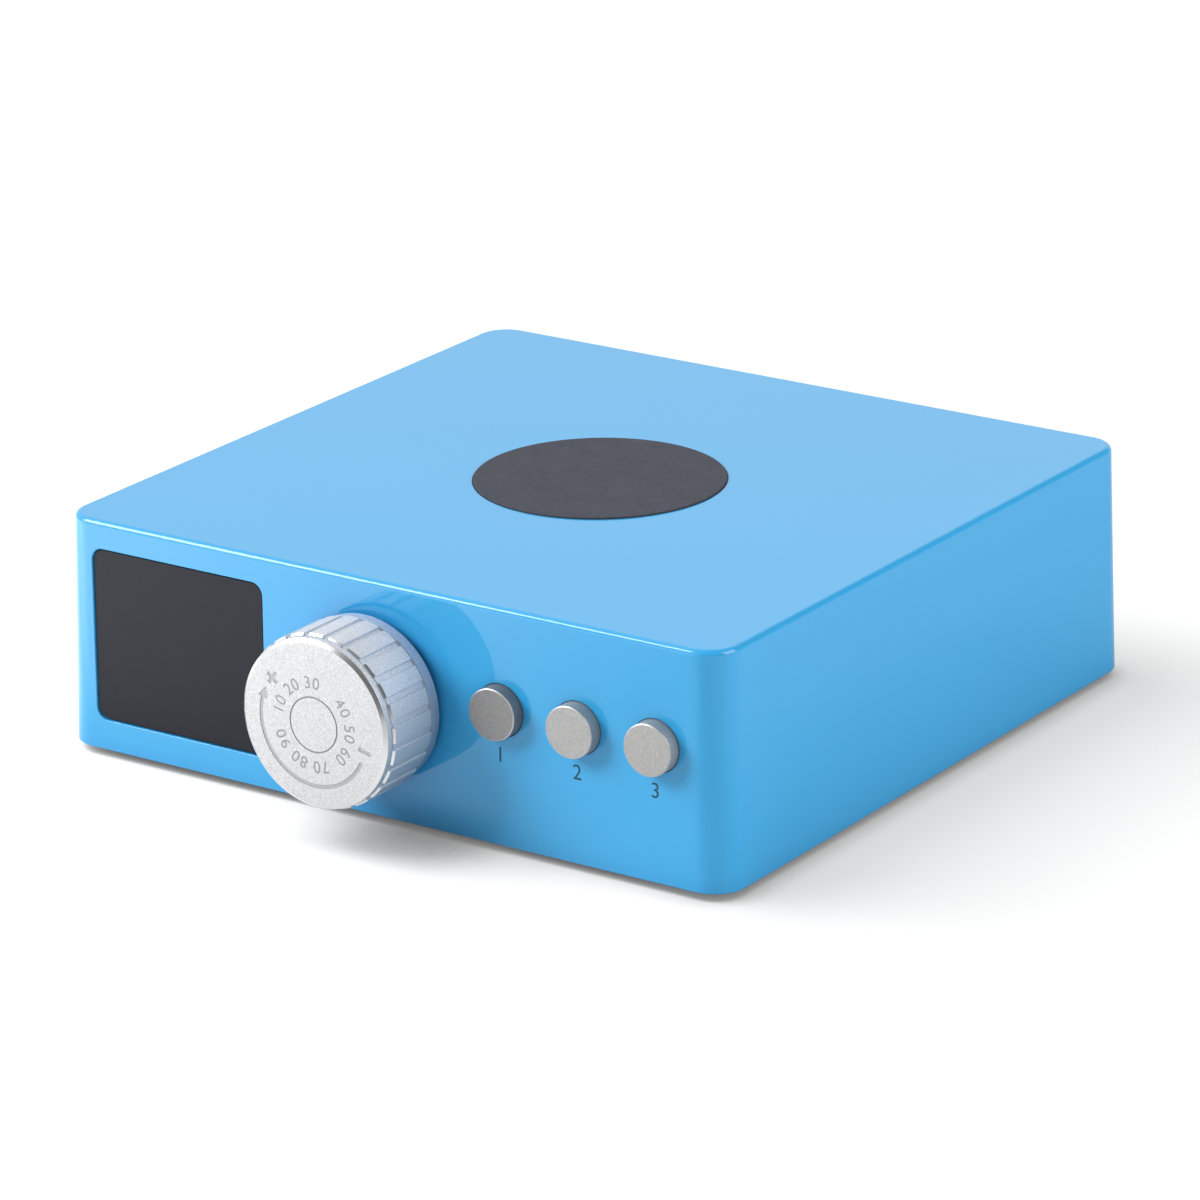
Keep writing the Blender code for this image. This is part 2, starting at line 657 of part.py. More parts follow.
def base_plate(datum, material):
    """A tray that closes the underside: lip, snap posts, vents, foot holes and sunk screw seats."""
    outer = LIP_OUTER_INSET
    radius = CORNER_RADIUS - WALL - SEAT_GAP
    rim = [(x, y) for x, y, z in housing_ring(0, outer, radius)]
    floor_inset = outer + LIP_THICKNESS
    pocket = [(x, y) for x, y, z in housing_ring(0, floor_inset, radius - LIP_THICKNESS)]
    plate = place(prism("base_plate", rim, PLATE_RECESS, LIP_TOP, material), datum)
    cut(plate, [place(prism("pocket", pocket, PLATE_TOP, LIP_TOP + OVERRUN), datum)])
    fuse(plate, [place(turned("post", snap_post(), steps=SMALL_STEPS), datum, (x, y, 0)) for x, y in STANDOFFS])
    tools = []
    for x, y in BASE_BOSSES:
        seat = PLATE_RECESS + HEAD_RECESS
        sunk = M3_HEAD_RADIUS + SEAT_GAP
        hole = M3_SHANK_RADIUS + SEAT_GAP
        profile = [(0, PLATE_RECESS - OVERRUN), (sunk, PLATE_RECESS - OVERRUN), (sunk, seat), (hole, seat)]
        profile += [(hole, PLATE_TOP + OVERRUN), (0, PLATE_TOP + OVERRUN)]
        tools.append(place(turned("screw_seat", profile, steps=SMALL_STEPS), datum, (x, y, 0)))
    for x, y in FEET:
        hole = rod("foot_hole", FOOT_STEM_RADIUS + SEAT_GAP, PLATE_RECESS - OVERRUN, PLATE_TOP + OVERRUN)
        tools.append(place(hole, datum, (x, y, 0)))
    for index in range(VENT_COUNT):
        x = (index - (VENT_COUNT - 1) / 2) * VENT_PITCH
        outline = centred_outline(VENT_WIDTH, VENT_LENGTH, VENT_WIDTH * VENT_END_SHARE, SLOT_END_STEPS)
        vent = prism("vent", outline, PLATE_RECESS - OVERRUN, PLATE_TOP + OVERRUN)
        tools.append(place(vent, datum, (x, 0, 0)))
    return cut(plate, tools)


def rubber_feet(datum, material):
    """Push-in rubber feet: a tread below the plate, a stem through it and a barb above it."""
    seat = PLATE_RECESS - SEAT_GAP
    barb = PLATE_TOP + SEAT_GAP
    tread_bottom = -FOOT_LIFT
    profile = [
        (0, tread_bottom),
        (FOOT_RADIUS - FOOT_EDGE, tread_bottom),
        (FOOT_RADIUS, tread_bottom + FOOT_EDGE),
        (FOOT_RADIUS, seat),
        (FOOT_STEM_RADIUS, seat),
        (FOOT_STEM_RADIUS, barb),
        (FOOT_BARB_RADIUS, barb),
        (FOOT_BARB_TIP_RADIUS, barb + FOOT_BARB_HEIGHT),
        (0, barb + FOOT_BARB_HEIGHT),
    ]
    for corner, (x, y) in zip(CORNERS, FEET):
        place(turned(f"foot_{corner}", profile, material, SMALL_STEPS), datum, (x, y, 0))


def base_screws(datum, material):
    """Four screws that hold the plate to the housing bosses."""
    level = PLATE_RECESS + HEAD_RECESS - SEAT_GAP
    for corner, (x, y) in zip(CORNERS, BASE_BOSSES):
        name = f"base_screw_{corner}"
        item = screw(name, M3_SHANK_RADIUS, M3_HEAD_RADIUS, M3_HEAD_HEIGHT, M3_LENGTH, material)
        place(item, datum, (x, y, level), FACING_DOWN)


def top_pad(datum, material):
    """The round dark pad in its shallow recess."""
    low = HOUSING_HEIGHT - TOP_PAD_DEPTH + SEAT_GAP
    high = HOUSING_HEIGHT + TOP_PAD_PROUD
    profile = [(0, low), (TOP_PAD_RADIUS, low), (TOP_PAD_RADIUS, high - TOP_PAD_EDGE)]
    profile += [(TOP_PAD_RADIUS - TOP_PAD_EDGE, high), (0, high)]
    return place(turned("top_pad", profile, material), datum, (TOP_PAD_X, TOP_PAD_Y, 0))


def display(datum, window_material, frame_material, panel_material):
    """The dark window in the panel, and the metal frame and panel behind it."""
    front = -WINDOW_RECESS
    outline = centred_outline(
        DISPLAY_WIDTH - 2 * SEAT_GAP, DISPLAY_HEIGHT - 2 * SEAT_GAP, DISPLAY_CORNER - SEAT_GAP
    )
    window = prism("display_window", outline, front - WINDOW_THICKNESS, front, window_material)
    place(window, datum, (DISPLAY_X, front_y(DISPLAY_Z), DISPLAY_Z), LEANING_FRONT)
    width = DISPLAY_WIDTH - 2 * FRAME_MARGIN
    height = DISPLAY_HEIGHT - 2 * FRAME_MARGIN
    origin = (DISPLAY_X, BOARD_FRONT_Y, DISPLAY_Z)
    high = BOARD_FRONT_Y - front_y(DISPLAY_Z + height / 2) - WALL - SEAT_GAP
    frame = box(
        "display_frame", (-width / 2, width / 2), (-height / 2, height / 2), (SEAT_GAP, high), frame_material
    )
    place(frame, datum, origin, FACING_FRONT)
    half_width = width / 2 - FRAME_RIM
    half_height = height / 2 - FRAME_RIM
    floor = high - PANEL_DEPTH - 2 * SEAT_GAP
    pocket = box("pocket", (-half_width, half_width), (-half_height, half_height), (floor, high + OVERRUN))
    cut(frame, [place(pocket, datum, origin, FACING_FRONT)])
    half_width -= SEAT_GAP
    half_height -= SEAT_GAP
    span = (floor + SEAT_GAP, floor + SEAT_GAP + PANEL_DEPTH)
    panel = box("display_panel", (-half_width, half_width), (-half_height, half_height), span, panel_material)
    place(panel, datum, origin, FACING_FRONT)


def front_board(datum, material, screw_material):
    """The board that carries the display, the encoder and the switches, with its screws."""
    span = (-BOARD_THICKNESS, 0)
    board = box(
        "front_board", (-BOARD_HALF_WIDTH, BOARD_HALF_WIDTH), (BOARD_LOW_Z, BOARD_HIGH_Z), span, material
    )
    place(board, datum, (0, BOARD_FRONT_Y, 0), FACING_FRONT)
    holes = []
    for index, (x, z) in enumerate(BOARD_BOSSES):
        hole = rod("hole", M25_SHANK_RADIUS + SEAT_GAP, -BOARD_THICKNESS - OVERRUN, OVERRUN)
        holes.append(place(hole, datum, (x, BOARD_FRONT_Y, z), FACING_FRONT))
        name = f"board_screw_{index + 1}"
        item = screw(name, M25_SHANK_RADIUS, M25_HEAD_RADIUS, M25_HEAD_HEIGHT, M25_LENGTH, screw_material)
        place(item, datum, (x, BOARD_BACK_Y + SEAT_GAP, z), FACING_BACK)
    cut(board, holes)


def grip_ring(station, pad_radius, floor_radius):
    """One ring of the knob: five points for each pad, two of them on the notch floor."""
    half_notch = NOTCH_WIDTH / 2 / PAD_RADIUS
    half_floor = NOTCH_FLOOR_WIDTH / 2 / PAD_RADIUS
    pitch = math.tau / PAD_COUNT
    points = []
    for index in range(PAD_COUNT):
        notch = math.radians(PAD_PHASE) + index * pitch
        stations = (
            (notch - half_notch, pad_radius),
            (notch - half_floor, floor_radius),
            (notch + half_floor, floor_radius),
            (notch + half_notch, pad_radius),
            (notch + pitch / 2, pad_radius),
        )
        points += [(radius * math.cos(angle), radius * math.sin(angle), station) for angle, radius in stations]
    return points


def control_knob(axis, material):
    """The machined knob: chamfered face, neck, chamfered pads between notches, and a plain band."""
    rim = KNOB_FACE - KNOB_CHAMFER
    neck = rim - KNOB_NECK_DROP
    pads = neck - KNOB_NECK_LENGTH
    band_edge = KNOB_BAND_RADIUS - KNOB_BAND_CHAMFER
    rings = [
        grip_ring(KNOB_FACE, KNOB_FACE_RADIUS, KNOB_FACE_RADIUS),
        grip_ring(rim, KNOB_RIM_RADIUS, KNOB_RIM_RADIUS),
        grip_ring(neck, KNOB_NECK_RADIUS, KNOB_NECK_RADIUS),
        grip_ring(pads, KNOB_NECK_RADIUS, KNOB_NECK_RADIUS),
        grip_ring(pads - PAD_CHAMFER, PAD_RADIUS, NOTCH_FLOOR_RADIUS),
        grip_ring(PAD_REAR, PAD_RADIUS, NOTCH_FLOOR_RADIUS),
        grip_ring(PAD_REAR, KNOB_BAND_RADIUS, KNOB_BAND_RADIUS),
        grip_ring(KNOB_REAR + KNOB_BAND_CHAMFER, KNOB_BAND_RADIUS, KNOB_BAND_RADIUS),
        grip_ring(KNOB_REAR, band_edge, band_edge),
    ]
    knob = place(loft("control_knob", rings, material), axis)
    hollow = [
        (0, KNOB_BORE_TOP),
        (KNOB_BORE_RADIUS, KNOB_BORE_TOP),
        (KNOB_BORE_RADIUS, KNOB_HUB_REAR),
        (KNOB_HUB_RADIUS, KNOB_HUB_REAR),
        (KNOB_HUB_RADIUS, KNOB_CAVITY_TOP),
        (KNOB_CAVITY_RADIUS, KNOB_CAVITY_TOP),
        (KNOB_CAVITY_RADIUS, KNOB_REAR - OVERRUN),
        (0, KNOB_REAR - OVERRUN),
    ]
    inner = RING_RADIUS - RING_WIDTH / 2
    groove = tube("groove", inner, inner + RING_WIDTH, KNOB_FACE - RING_DEPTH, KNOB_FACE + OVERRUN)
    return cut(knob, [place(turned("hollow", hollow), axis), place(groove, axis)])


def knob_insert(axis, material):
    """The moulded hub in the knob, with the D-shaped bore for the shaft."""
    radius = KNOB_BORE_RADIUS - SEAT_GAP
    insert = place(rod("knob_insert", radius, KNOB_HUB_REAR, KNOB_BORE_TOP - SEAT_GAP, material, ROUND_STEPS), axis)
    low = KNOB_HUB_REAR - OVERRUN
    high = SHAFT_END + SEAT_GAP
    bore = place(rod("bore", SHAFT_RADIUS + SEAT_GAP, low, high, steps=SMALL_STEPS), axis)
    flat = box("flat", (-KNOB_HUB_RADIUS, KNOB_HUB_RADIUS), (SHAFT_FLAT + SEAT_GAP, KNOB_HUB_RADIUS),
               (SHAFT_FLAT_START + SEAT_GAP, high + OVERRUN))
    cut(bore, [place(flat, axis)])
    return cut(insert, [bore])


def encoder_shaft(axis, body_front, material):
    """The encoder's shaft, with its flat."""
    low = body_front - SHAFT_TAIL
    shaft = place(rod("encoder_shaft", SHAFT_RADIUS, low, SHAFT_END, material), axis)
    flat = box("flat", (-KNOB_HUB_RADIUS, KNOB_HUB_RADIUS), (SHAFT_FLAT, KNOB_HUB_RADIUS),
               (SHAFT_FLAT_START, SHAFT_END + OVERRUN))
    return cut(shaft, [place(flat, axis)])


def encoder(datum, axis, body_front, plastic, metal):
    """The rotary encoder's body with its threaded bushing, and the washer and nut that hold it."""
    origin = (KNOB_X, front_y(KNOB_Z), KNOB_Z)
    half = ENCODER_SIZE / 2
    board = front_y(KNOB_Z) - BOARD_FRONT_Y
    body = box("encoder_body", (-half, half), (-half, half), (board + SEAT_GAP, body_front), plastic)
    place(body, datum, origin, FACING_FRONT)
    bushing = rod("bushing", BUSHING_RADIUS, body_front - EMBED, BUSHING_END, steps=ROUND_STEPS)
    fuse(body, [place(bushing, datum, origin, FACING_FRONT)])
    low = body_front - SHAFT_TAIL - SEAT_GAP
    bore = rod("bore", SHAFT_RADIUS + SHAFT_GAP, low, BUSHING_END + OVERRUN, steps=SMALL_STEPS)
    cut(body, [place(bore, datum, origin, FACING_FRONT)])
    hole = BUSHING_RADIUS + SEAT_GAP
    top = SEAT_GAP + WASHER_THICKNESS
    washer = tube("encoder_washer", hole, WASHER_RADIUS, SEAT_GAP, top, metal)
    place(washer, datum, origin, FACING_FRONT)
    nut_low = top + SEAT_GAP
    nut = prism("encoder_nut", polygon(NUT_RADIUS, NUT_SIDES), nut_low, nut_low + NUT_THICKNESS, metal)
    place(nut, datum, origin, FACING_FRONT)
    bore = rod("bore", hole, nut_low - OVERRUN, nut_low + NUT_THICKNESS + OVERRUN, steps=ROUND_STEPS)
    cut(nut, [place(bore, datum, origin, FACING_FRONT)])
    knob_insert(axis, plastic)
    encoder_shaft(axis, body_front, metal)


def push_button(name, index, datum, metal, plastic, dark):
    """One button: the metal cap on its slide axis, its switch plunger, and the switch on the board."""
    x = BUTTON_FIRST_X + index * BUTTON_PITCH
    origin = (x, front_y(BUTTON_Z), BUTTON_Z)
    axis = empty(f"{name}_axis", datum, origin, FACING_FRONT)
    board = front_y(BUTTON_Z) - BOARD_FRONT_Y
    body_front = board + SEAT_GAP + SWITCH_HEIGHT
    tip = body_front + PLUNGER_PROUD
    flange = BUTTON_RADIUS + FLANGE_OVERLAP
    high = -WALL - flange * FRONT_SLOPE - SEAT_GAP
    low = high - FLANGE_THICKNESS
    profile = [
        (0, tip + SEAT_GAP),
        (STEM_RADIUS, tip + SEAT_GAP),
        (STEM_RADIUS, low),
        (flange, low),
        (flange, high),
        (BUTTON_RADIUS, high),
        (BUTTON_RADIUS, BUTTON_PROUD - BUTTON_EDGE),
        (BUTTON_RADIUS - BUTTON_EDGE, BUTTON_PROUD),
        (0, BUTTON_PROUD),
    ]
    place(turned(f"{name}_button", profile, metal), axis)
    plunger = rod(f"{name}_switch_plunger", PLUNGER_RADIUS, body_front - PLUNGER_DEPTH, tip, dark)
    place(plunger, axis)
    half = SWITCH_SIZE / 2
    body = box(f"{name}_switch", (-half, half), (-half, half), (board + SEAT_GAP, body_front), plastic)
    place(body, datum, origin, FACING_FRONT)
    depth = body_front - PLUNGER_DEPTH - BUTTON_TRAVEL - SEAT_GAP
    well = rod("well", PLUNGER_RADIUS + PLUNGER_GAP, depth, body_front + OVERRUN)
    cut(body, [place(well, datum, origin, FACING_FRONT)])


def main_board(datum, material):
    """The power board, snapped on to the posts of the base plate."""
    half_width = MAIN_BOARD_WIDTH / 2
    half_depth = MAIN_BOARD_DEPTH / 2
    span = (MAIN_BOARD_BOTTOM, MAIN_BOARD_TOP)
    board = box("main_board", (-half_width, half_width), (-half_depth, half_depth), span, material)
    place(board, datum)
    holes = []
    for x, y in STANDOFFS:
        hole = rod("hole", SNAP_PIN_RADIUS + SEAT_GAP, MAIN_BOARD_BOTTOM - OVERRUN, MAIN_BOARD_TOP + OVERRUN)
        holes.append(place(hole, datum, (x, y, 0)))
    return cut(board, holes)


def heat_sink(datum, material):
    """A comb-shaped extrusion that stands on the board, fins to the rear."""
    pitch = (SINK_WIDTH - FIN_THICKNESS) / (FIN_COUNT - 1)
    tip = SINK_BASE + FIN_LENGTH
    outline = [(-SINK_WIDTH / 2, 0), (SINK_WIDTH / 2, 0)]
    for index in reversed(range(FIN_COUNT)):
        left = index * pitch - SINK_WIDTH / 2
        right = left + FIN_THICKNESS
        if index < FIN_COUNT - 1:
            outline.append((right, SINK_BASE))
        outline += [(right, tip), (left, tip)]
        if index > 0:
            outline.append((left, SINK_BASE))
    sink = prism("heat_sink", outline, ON_BOARD, ON_BOARD + SINK_HEIGHT, material)
    return place(sink, datum, (0, SINK_Y, 0))


def bridge_modules(datum, material):
    """One tabbed power module for each motor phase, against the front of the heat sink."""
    side = [
        (0, 0),
        (BRIDGE_BODY, 0),
        (BRIDGE_BODY, BRIDGE_BODY_HEIGHT),
        (BRIDGE_TAB, BRIDGE_BODY_HEIGHT),
        (BRIDGE_TAB, BRIDGE_HEIGHT),
        (0, BRIDGE_HEIGHT),
    ]
    rings = [[(x, -y, z) for y, z in side] for x in (-BRIDGE_WIDTH / 2, BRIDGE_WIDTH / 2)]
    for index in range(BRIDGE_COUNT):
        x = (index - (BRIDGE_COUNT - 1) / 2) * BRIDGE_PITCH
        module = loft(f"bridge_module_{index + 1}", rings, material)
        place(module, datum, (x, SINK_Y - SEAT_GAP, ON_BOARD))


def board_parts(datum, dark, sleeve):
    """Capacitors, buzzer and controller chip on the main board."""
    edge = CAPACITOR_EDGE
    profile = [(0, 0), (CAPACITOR_RADIUS, 0), (CAPACITOR_RADIUS, CAPACITOR_HEIGHT - edge)]
    profile += [(CAPACITOR_RADIUS - edge, CAPACITOR_HEIGHT), (0, CAPACITOR_HEIGHT)]
    for index, x in enumerate(CAPACITOR_X):
        can = turned(f"capacitor_{index + 1}", profile, sleeve, SMALL_STEPS)
        place(can, datum, (x, CAPACITOR_Y, ON_BOARD))
    buzzer = rod("buzzer", BUZZER_RADIUS, 0, BUZZER_HEIGHT, dark)
    place(buzzer, datum, (BUZZER_X, BUZZER_Y, ON_BOARD))
    half = CHIP_SIZE / 2
    chip = box("controller_chip", (-half, half), (-half, half), (0, CHIP_HEIGHT), dark)
    place(chip, datum, (CHIP_X, CHIP_Y, ON_BOARD))


def ribbon(datum, header_material, ribbon_material):
    """The two board headers and the flat cable that bends down from one to the other."""
    half = HEADER_WIDTH / 2
    thick = HEADER_THICKNESS / 2
    front = box("front_header", (-half, half), (-thick, thick), (SEAT_GAP, HEADER_HEIGHT), header_material)
    place(front, datum, (HEADER_X, BOARD_BACK_Y, FRONT_HEADER_Z), FACING_BACK)
    main = box("main_header", (-half, half), (-thick, thick), (SEAT_GAP, HEADER_HEIGHT), header_material)
    place(main, datum, (HEADER_X, MAIN_HEADER_Y, MAIN_BOARD_TOP))
    start = BOARD_BACK_Y + HEADER_HEIGHT + SEAT_GAP
    centre_y = MAIN_HEADER_Y - RIBBON_BEND
    centre_z = FRONT_HEADER_Z - RIBBON_BEND
    inner = RIBBON_BEND - RIBBON_THICKNESS / 2
    outer = RIBBON_BEND + RIBBON_THICKNESS / 2
    sections = [((start, centre_z + inner), (start, centre_z + outer))]
    for step in range(RIBBON_STEPS + 1):
        angle = math.pi / 2 * (1 - step / RIBBON_STEPS)
        sections.append(
            tuple((centre_y + r * math.cos(angle), centre_z + r * math.sin(angle)) for r in (inner, outer))
        )
    end = MAIN_BOARD_TOP + HEADER_HEIGHT + SEAT_GAP
    sections.append(((centre_y + inner, end), (centre_y + outer, end)))
    width = RIBBON_WIDTH / 2
    rings = [
        [(-width, *inner_point), (width, *inner_point), (width, *outer_point), (-width, *outer_point)]
        for inner_point, outer_point in sections
    ]
    return place(loft("ribbon_cable", rings, ribbon_material), datum, (HEADER_X, 0, 0))


def rear_origin(x):
    """Point on the rear panel that a rear piece is centred on."""
    return (x, back_y(REAR_Z), REAR_Z)


def motor_socket(datum, metal, insulator):
    """The round handpiece socket: shell, insulator with its moulded-in pins, and the inner nut."""
    origin = rear_origin(MOTOR_SOCKET_X)
    seat = SEAT_GAP + MOTOR_FLANGE_RADIUS * BACK_SLOPE
    flange_top = seat + MOTOR_FLANGE
    profile = [
        (MOTOR_CAVITY_RADIUS, -MOTOR_BARREL_LENGTH),
        (MOTOR_BARREL_RADIUS, -MOTOR_BARREL_LENGTH),
        (MOTOR_BARREL_RADIUS, seat),
        (MOTOR_FLANGE_RADIUS, seat),
        (MOTOR_FLANGE_RADIUS, flange_top),
        (MOTOR_COLLAR_RADIUS, flange_top),
        (MOTOR_COLLAR_RADIUS, MOTOR_PROUD),
        (MOTOR_CAVITY_RADIUS, MOTOR_PROUD),
    ]
    place(turned("motor_socket_shell", profile, metal), datum, origin, FACING_BACK)
    radius = MOTOR_CAVITY_RADIUS - SEAT_GAP
    insert = rod("motor_socket_insert", radius, -MOTOR_BARREL_LENGTH, MOTOR_INSERT_FRONT, insulator, ROUND_STEPS)
    place(insert, datum, origin, FACING_BACK)
    pins = []
    for px, py in polygon(MOTOR_PIN_CIRCLE, MOTOR_PIN_COUNT):
        pin = rod("pin", MOTOR_PIN_RADIUS, MOTOR_PIN_TAIL, MOTOR_PIN_TIP, steps=PIN_STEPS)
        pins.append(place(pin, datum, (origin[0] - px, origin[1], origin[2] + py), FACING_BACK))
    fuse(insert, pins)
    high = -WALL - MOTOR_NUT_RADIUS * BACK_SLOPE - SEAT_GAP
    ring_nut("motor_socket_nut", MOTOR_NUT_RADIUS, MOTOR_BARREL_RADIUS, high - MOTOR_NUT_THICKNESS, high,
             datum, origin, metal)


def ring_nut(name, radius, thread_radius, low, high, datum, origin, material):
    """A hexagonal nut on a rear socket."""
    nut = place(prism(name, polygon(radius, NUT_SIDES), low, high, material), datum, origin, FACING_BACK)
    bore = rod("bore", thread_radius + SEAT_GAP, low - OVERRUN, high + OVERRUN, steps=ROUND_STEPS)
    return cut(nut, [place(bore, datum, origin, FACING_BACK)])


def pedal_socket(datum, plastic, metal):
    """The foot-pedal jack: boxed body inside, ferrule through the panel, and the nut outside."""
    origin = rear_origin(PEDAL_SOCKET_X)
    half = PEDAL_BODY_SIZE / 2
    front = -WALL - half * BACK_SLOPE - SEAT_GAP
    back = front - PEDAL_BODY_DEPTH
    body = box("pedal_socket", (-half, half), (-half, half), (back, front), plastic)
    place(body, datum, origin, FACING_BACK)
    ferrule = rod("ferrule", PEDAL_FERRULE_RADIUS, front - EMBED, PEDAL_PROUD, steps=ROUND_STEPS)
    fuse(body, [place(ferrule, datum, origin, FACING_BACK)])
    bore = rod("bore", PEDAL_BORE_RADIUS, back + PEDAL_BACK_WALL, PEDAL_PROUD + OVERRUN, steps=ROUND_STEPS)
    cut(body, [place(bore, datum, origin, FACING_BACK)])
    low = SEAT_GAP + PEDAL_NUT_RADIUS * BACK_SLOPE
    ring_nut("pedal_socket_nut", PEDAL_NUT_RADIUS, PEDAL_FERRULE_RADIUS, low, low + PEDAL_NUT_THICKNESS,
             datum, origin, metal)


def power_inlet(datum, plastic, contact, metal):
    """The round low-voltage inlet: moulded body, centre pin, and the nut inside the panel."""
    origin = rear_origin(INLET_X)
    seat = SEAT_GAP + INLET_FLANGE_RADIUS * BACK_SLOPE
    profile = [
        (0, -INLET_BODY_LENGTH),
        (INLET_BODY_RADIUS, -INLET_BODY_LENGTH),
        (INLET_BODY_RADIUS, seat),
        (INLET_FLANGE_RADIUS, seat),
        (INLET_FLANGE_RADIUS, INLET_PROUD),
        (INLET_CAVITY_RADIUS, INLET_PROUD),
        (INLET_CAVITY_RADIUS, INLET_PROUD - INLET_CAVITY_DEPTH),
        (0, INLET_PROUD - INLET_CAVITY_DEPTH),
    ]
    body = place(turned("power_inlet", profile, plastic), datum, origin, FACING_BACK)
    hole = rod("hole", INLET_PIN_RADIUS + SEAT_GAP, -INLET_BODY_LENGTH - OVERRUN, 0)
    cut(body, [place(hole, datum, origin, FACING_BACK)])
    low = -INLET_BODY_LENGTH - INLET_PIN_TAIL
    pin = rod("power_inlet_pin", INLET_PIN_RADIUS, low, INLET_PROUD - INLET_PIN_RECESS, contact)
    place(pin, datum, origin, FACING_BACK)
    high = -WALL - INLET_NUT_RADIUS * BACK_SLOPE - SEAT_GAP
    ring_nut("power_inlet_nut", INLET_NUT_RADIUS, INLET_BODY_RADIUS, high - INLET_NUT_THICKNESS, high,
             datum, origin, metal)


def power_switch(datum, plastic, rocker_material):
    """The snap-in rocker switch: bezel and body with its blades, and the rocker on its trunnions."""
    origin = rear_origin(SWITCH_X)
    seat = SEAT_GAP + BEZEL_HEIGHT / 2 * BACK_SLOPE
    bezel_top = seat + BEZEL_THICKNESS
    outline = centred_outline(BEZEL_WIDTH, BEZEL_HEIGHT, BEZEL_CORNER, FILLET_STEPS)
    frame = place(prism("power_switch_frame", outline, seat, bezel_top, plastic), datum, origin, FACING_BACK)
    half_width = BEZEL_WIDTH / 2 - BEZEL_LAP
    half_height = BEZEL_HEIGHT / 2 - BEZEL_LAP
    back = seat - SWITCH_BODY_DEPTH
    body = box("body", (-half_width, half_width), (-half_height, half_height), (back, seat + EMBED))
    tools = [place(body, datum, origin, FACING_BACK)]
    for side in (-1, 1):
        z = side * BLADE_SPACING / 2
        thickness = (z - BLADE_THICKNESS / 2, z + BLADE_THICKNESS / 2)
        blade = box("blade", (-BLADE_WIDTH / 2, BLADE_WIDTH / 2), thickness, (back - BLADE_LENGTH, back + EMBED))
        tools.append(place(blade, datum, origin, FACING_BACK))
    fuse(frame, tools)
    inner_width = half_width - SWITCH_SIDE_WALL
    inner_height = ROCKER_RADIUS + ROCKER_GAP
    span = (bezel_top - SWITCH_CAVITY_DEPTH, bezel_top + OVERRUN)
    cavity = box("cavity", (-inner_width, inner_width), (-inner_height, inner_height), span)
    pivot = (origin[0], origin[1] + ROCKER_PIVOT, origin[2])
    reach = inner_width + TRUNNION_REACH + SEAT_GAP
    sockets = turned_across("sockets", TRUNNION_RADIUS + SEAT_GAP, reach)
    cut(frame, [place(cavity, datum, origin, FACING_BACK), place(sockets, datum, pivot)])
    rocker(datum, pivot, inner_width, rocker_material)


def turned_across(name, radius, reach, material=None):
    """A round bar along X, modelled straight in its place."""
    rings = [
        [(x, py, pz) for py, pz in polygon(radius, SMALL_STEPS)]
        for x in (-reach, reach)
    ]
    return loft(name, rings, material)


def rocker(datum, pivot, inner_width, material):
    """The rocker, its face a shallow V, tipped to its off side about its own trunnions."""
    dip = math.radians(ROCKER_THROW / 2)
    end_angle = math.asin(ROCKER_CREST / ROCKER_RADIUS * math.cos(dip)) + dip
    back_angle = math.asin(ROCKER_BACK / ROCKER_RADIUS)
    side = [(ROCKER_CREST, 0)]
    for step in range(FILLET_STEPS + 1):
        angle = end_angle - (end_angle + back_angle) * step / FILLET_STEPS
        side.append((ROCKER_RADIUS * math.sin(angle), ROCKER_RADIUS * math.cos(angle)))
    side += [(y, -z) for y, z in reversed(side[1:])]
    half = inner_width - ROCKER_GAP
    axis = empty("rocker_axis", datum, pivot)
    body = loft("power_rocker", [[(x, y, z) for y, z in side] for x in (-half, half)], material)
    place(body, axis, rotation=(-dip, 0, 0))
    trunnions = turned_across("trunnions", TRUNNION_RADIUS, inner_width + TRUNNION_REACH)
    return fuse(body, [place(trunnions, axis)])


def lead(name, radius, ends, ways, datum, material):
    """An insulated lead on one smooth curve that leaves both ends along the given directions."""
    start, end = ends
    reach = math.dist(start, end) * LEAD_REACH_SHARE
    after = [value + reach * way for value, way in zip(start, ways[0])]
    before = [value + reach * way for value, way in zip(end, ways[1])]
    curve = bpy.data.curves.new(name, "CURVE")
    curve.dimensions = "3D"
    curve.bevel_depth = radius
    curve.bevel_resolution = LEAD_BEVEL_RESOLUTION
    curve.use_fill_caps = True
    spline = curve.splines.new("POLY")
    spline.points.add(LEAD_STEPS)
    for index, point in enumerate(spline.points):
        t = index / LEAD_STEPS
        weights = ((1 - t) ** 3, 3 * t * (1 - t) ** 2, 3 * t * t * (1 - t), t ** 3)
        place_on_curve = [
            sum(weight * value for weight, value in zip(weights, values))
            for values in zip(start, after, before, end)
        ]
        point.co = (*place_on_curve, 1.0)
    curve.materials.append(material)
    item = bpy.data.objects.new(name, curve)
    bpy.context.scene.collection.objects.link(item)
    return place(item, datum)


def landing(x):
    """Where a lead from the rear panel is soldered to the main board."""
    limit = MAIN_BOARD_WIDTH / 2 - LANDING_SIDE_INSET
    return (max(-limit, min(limit, x)), MAIN_BOARD_DEPTH / 2 - LANDING_REAR_INSET, ON_BOARD)


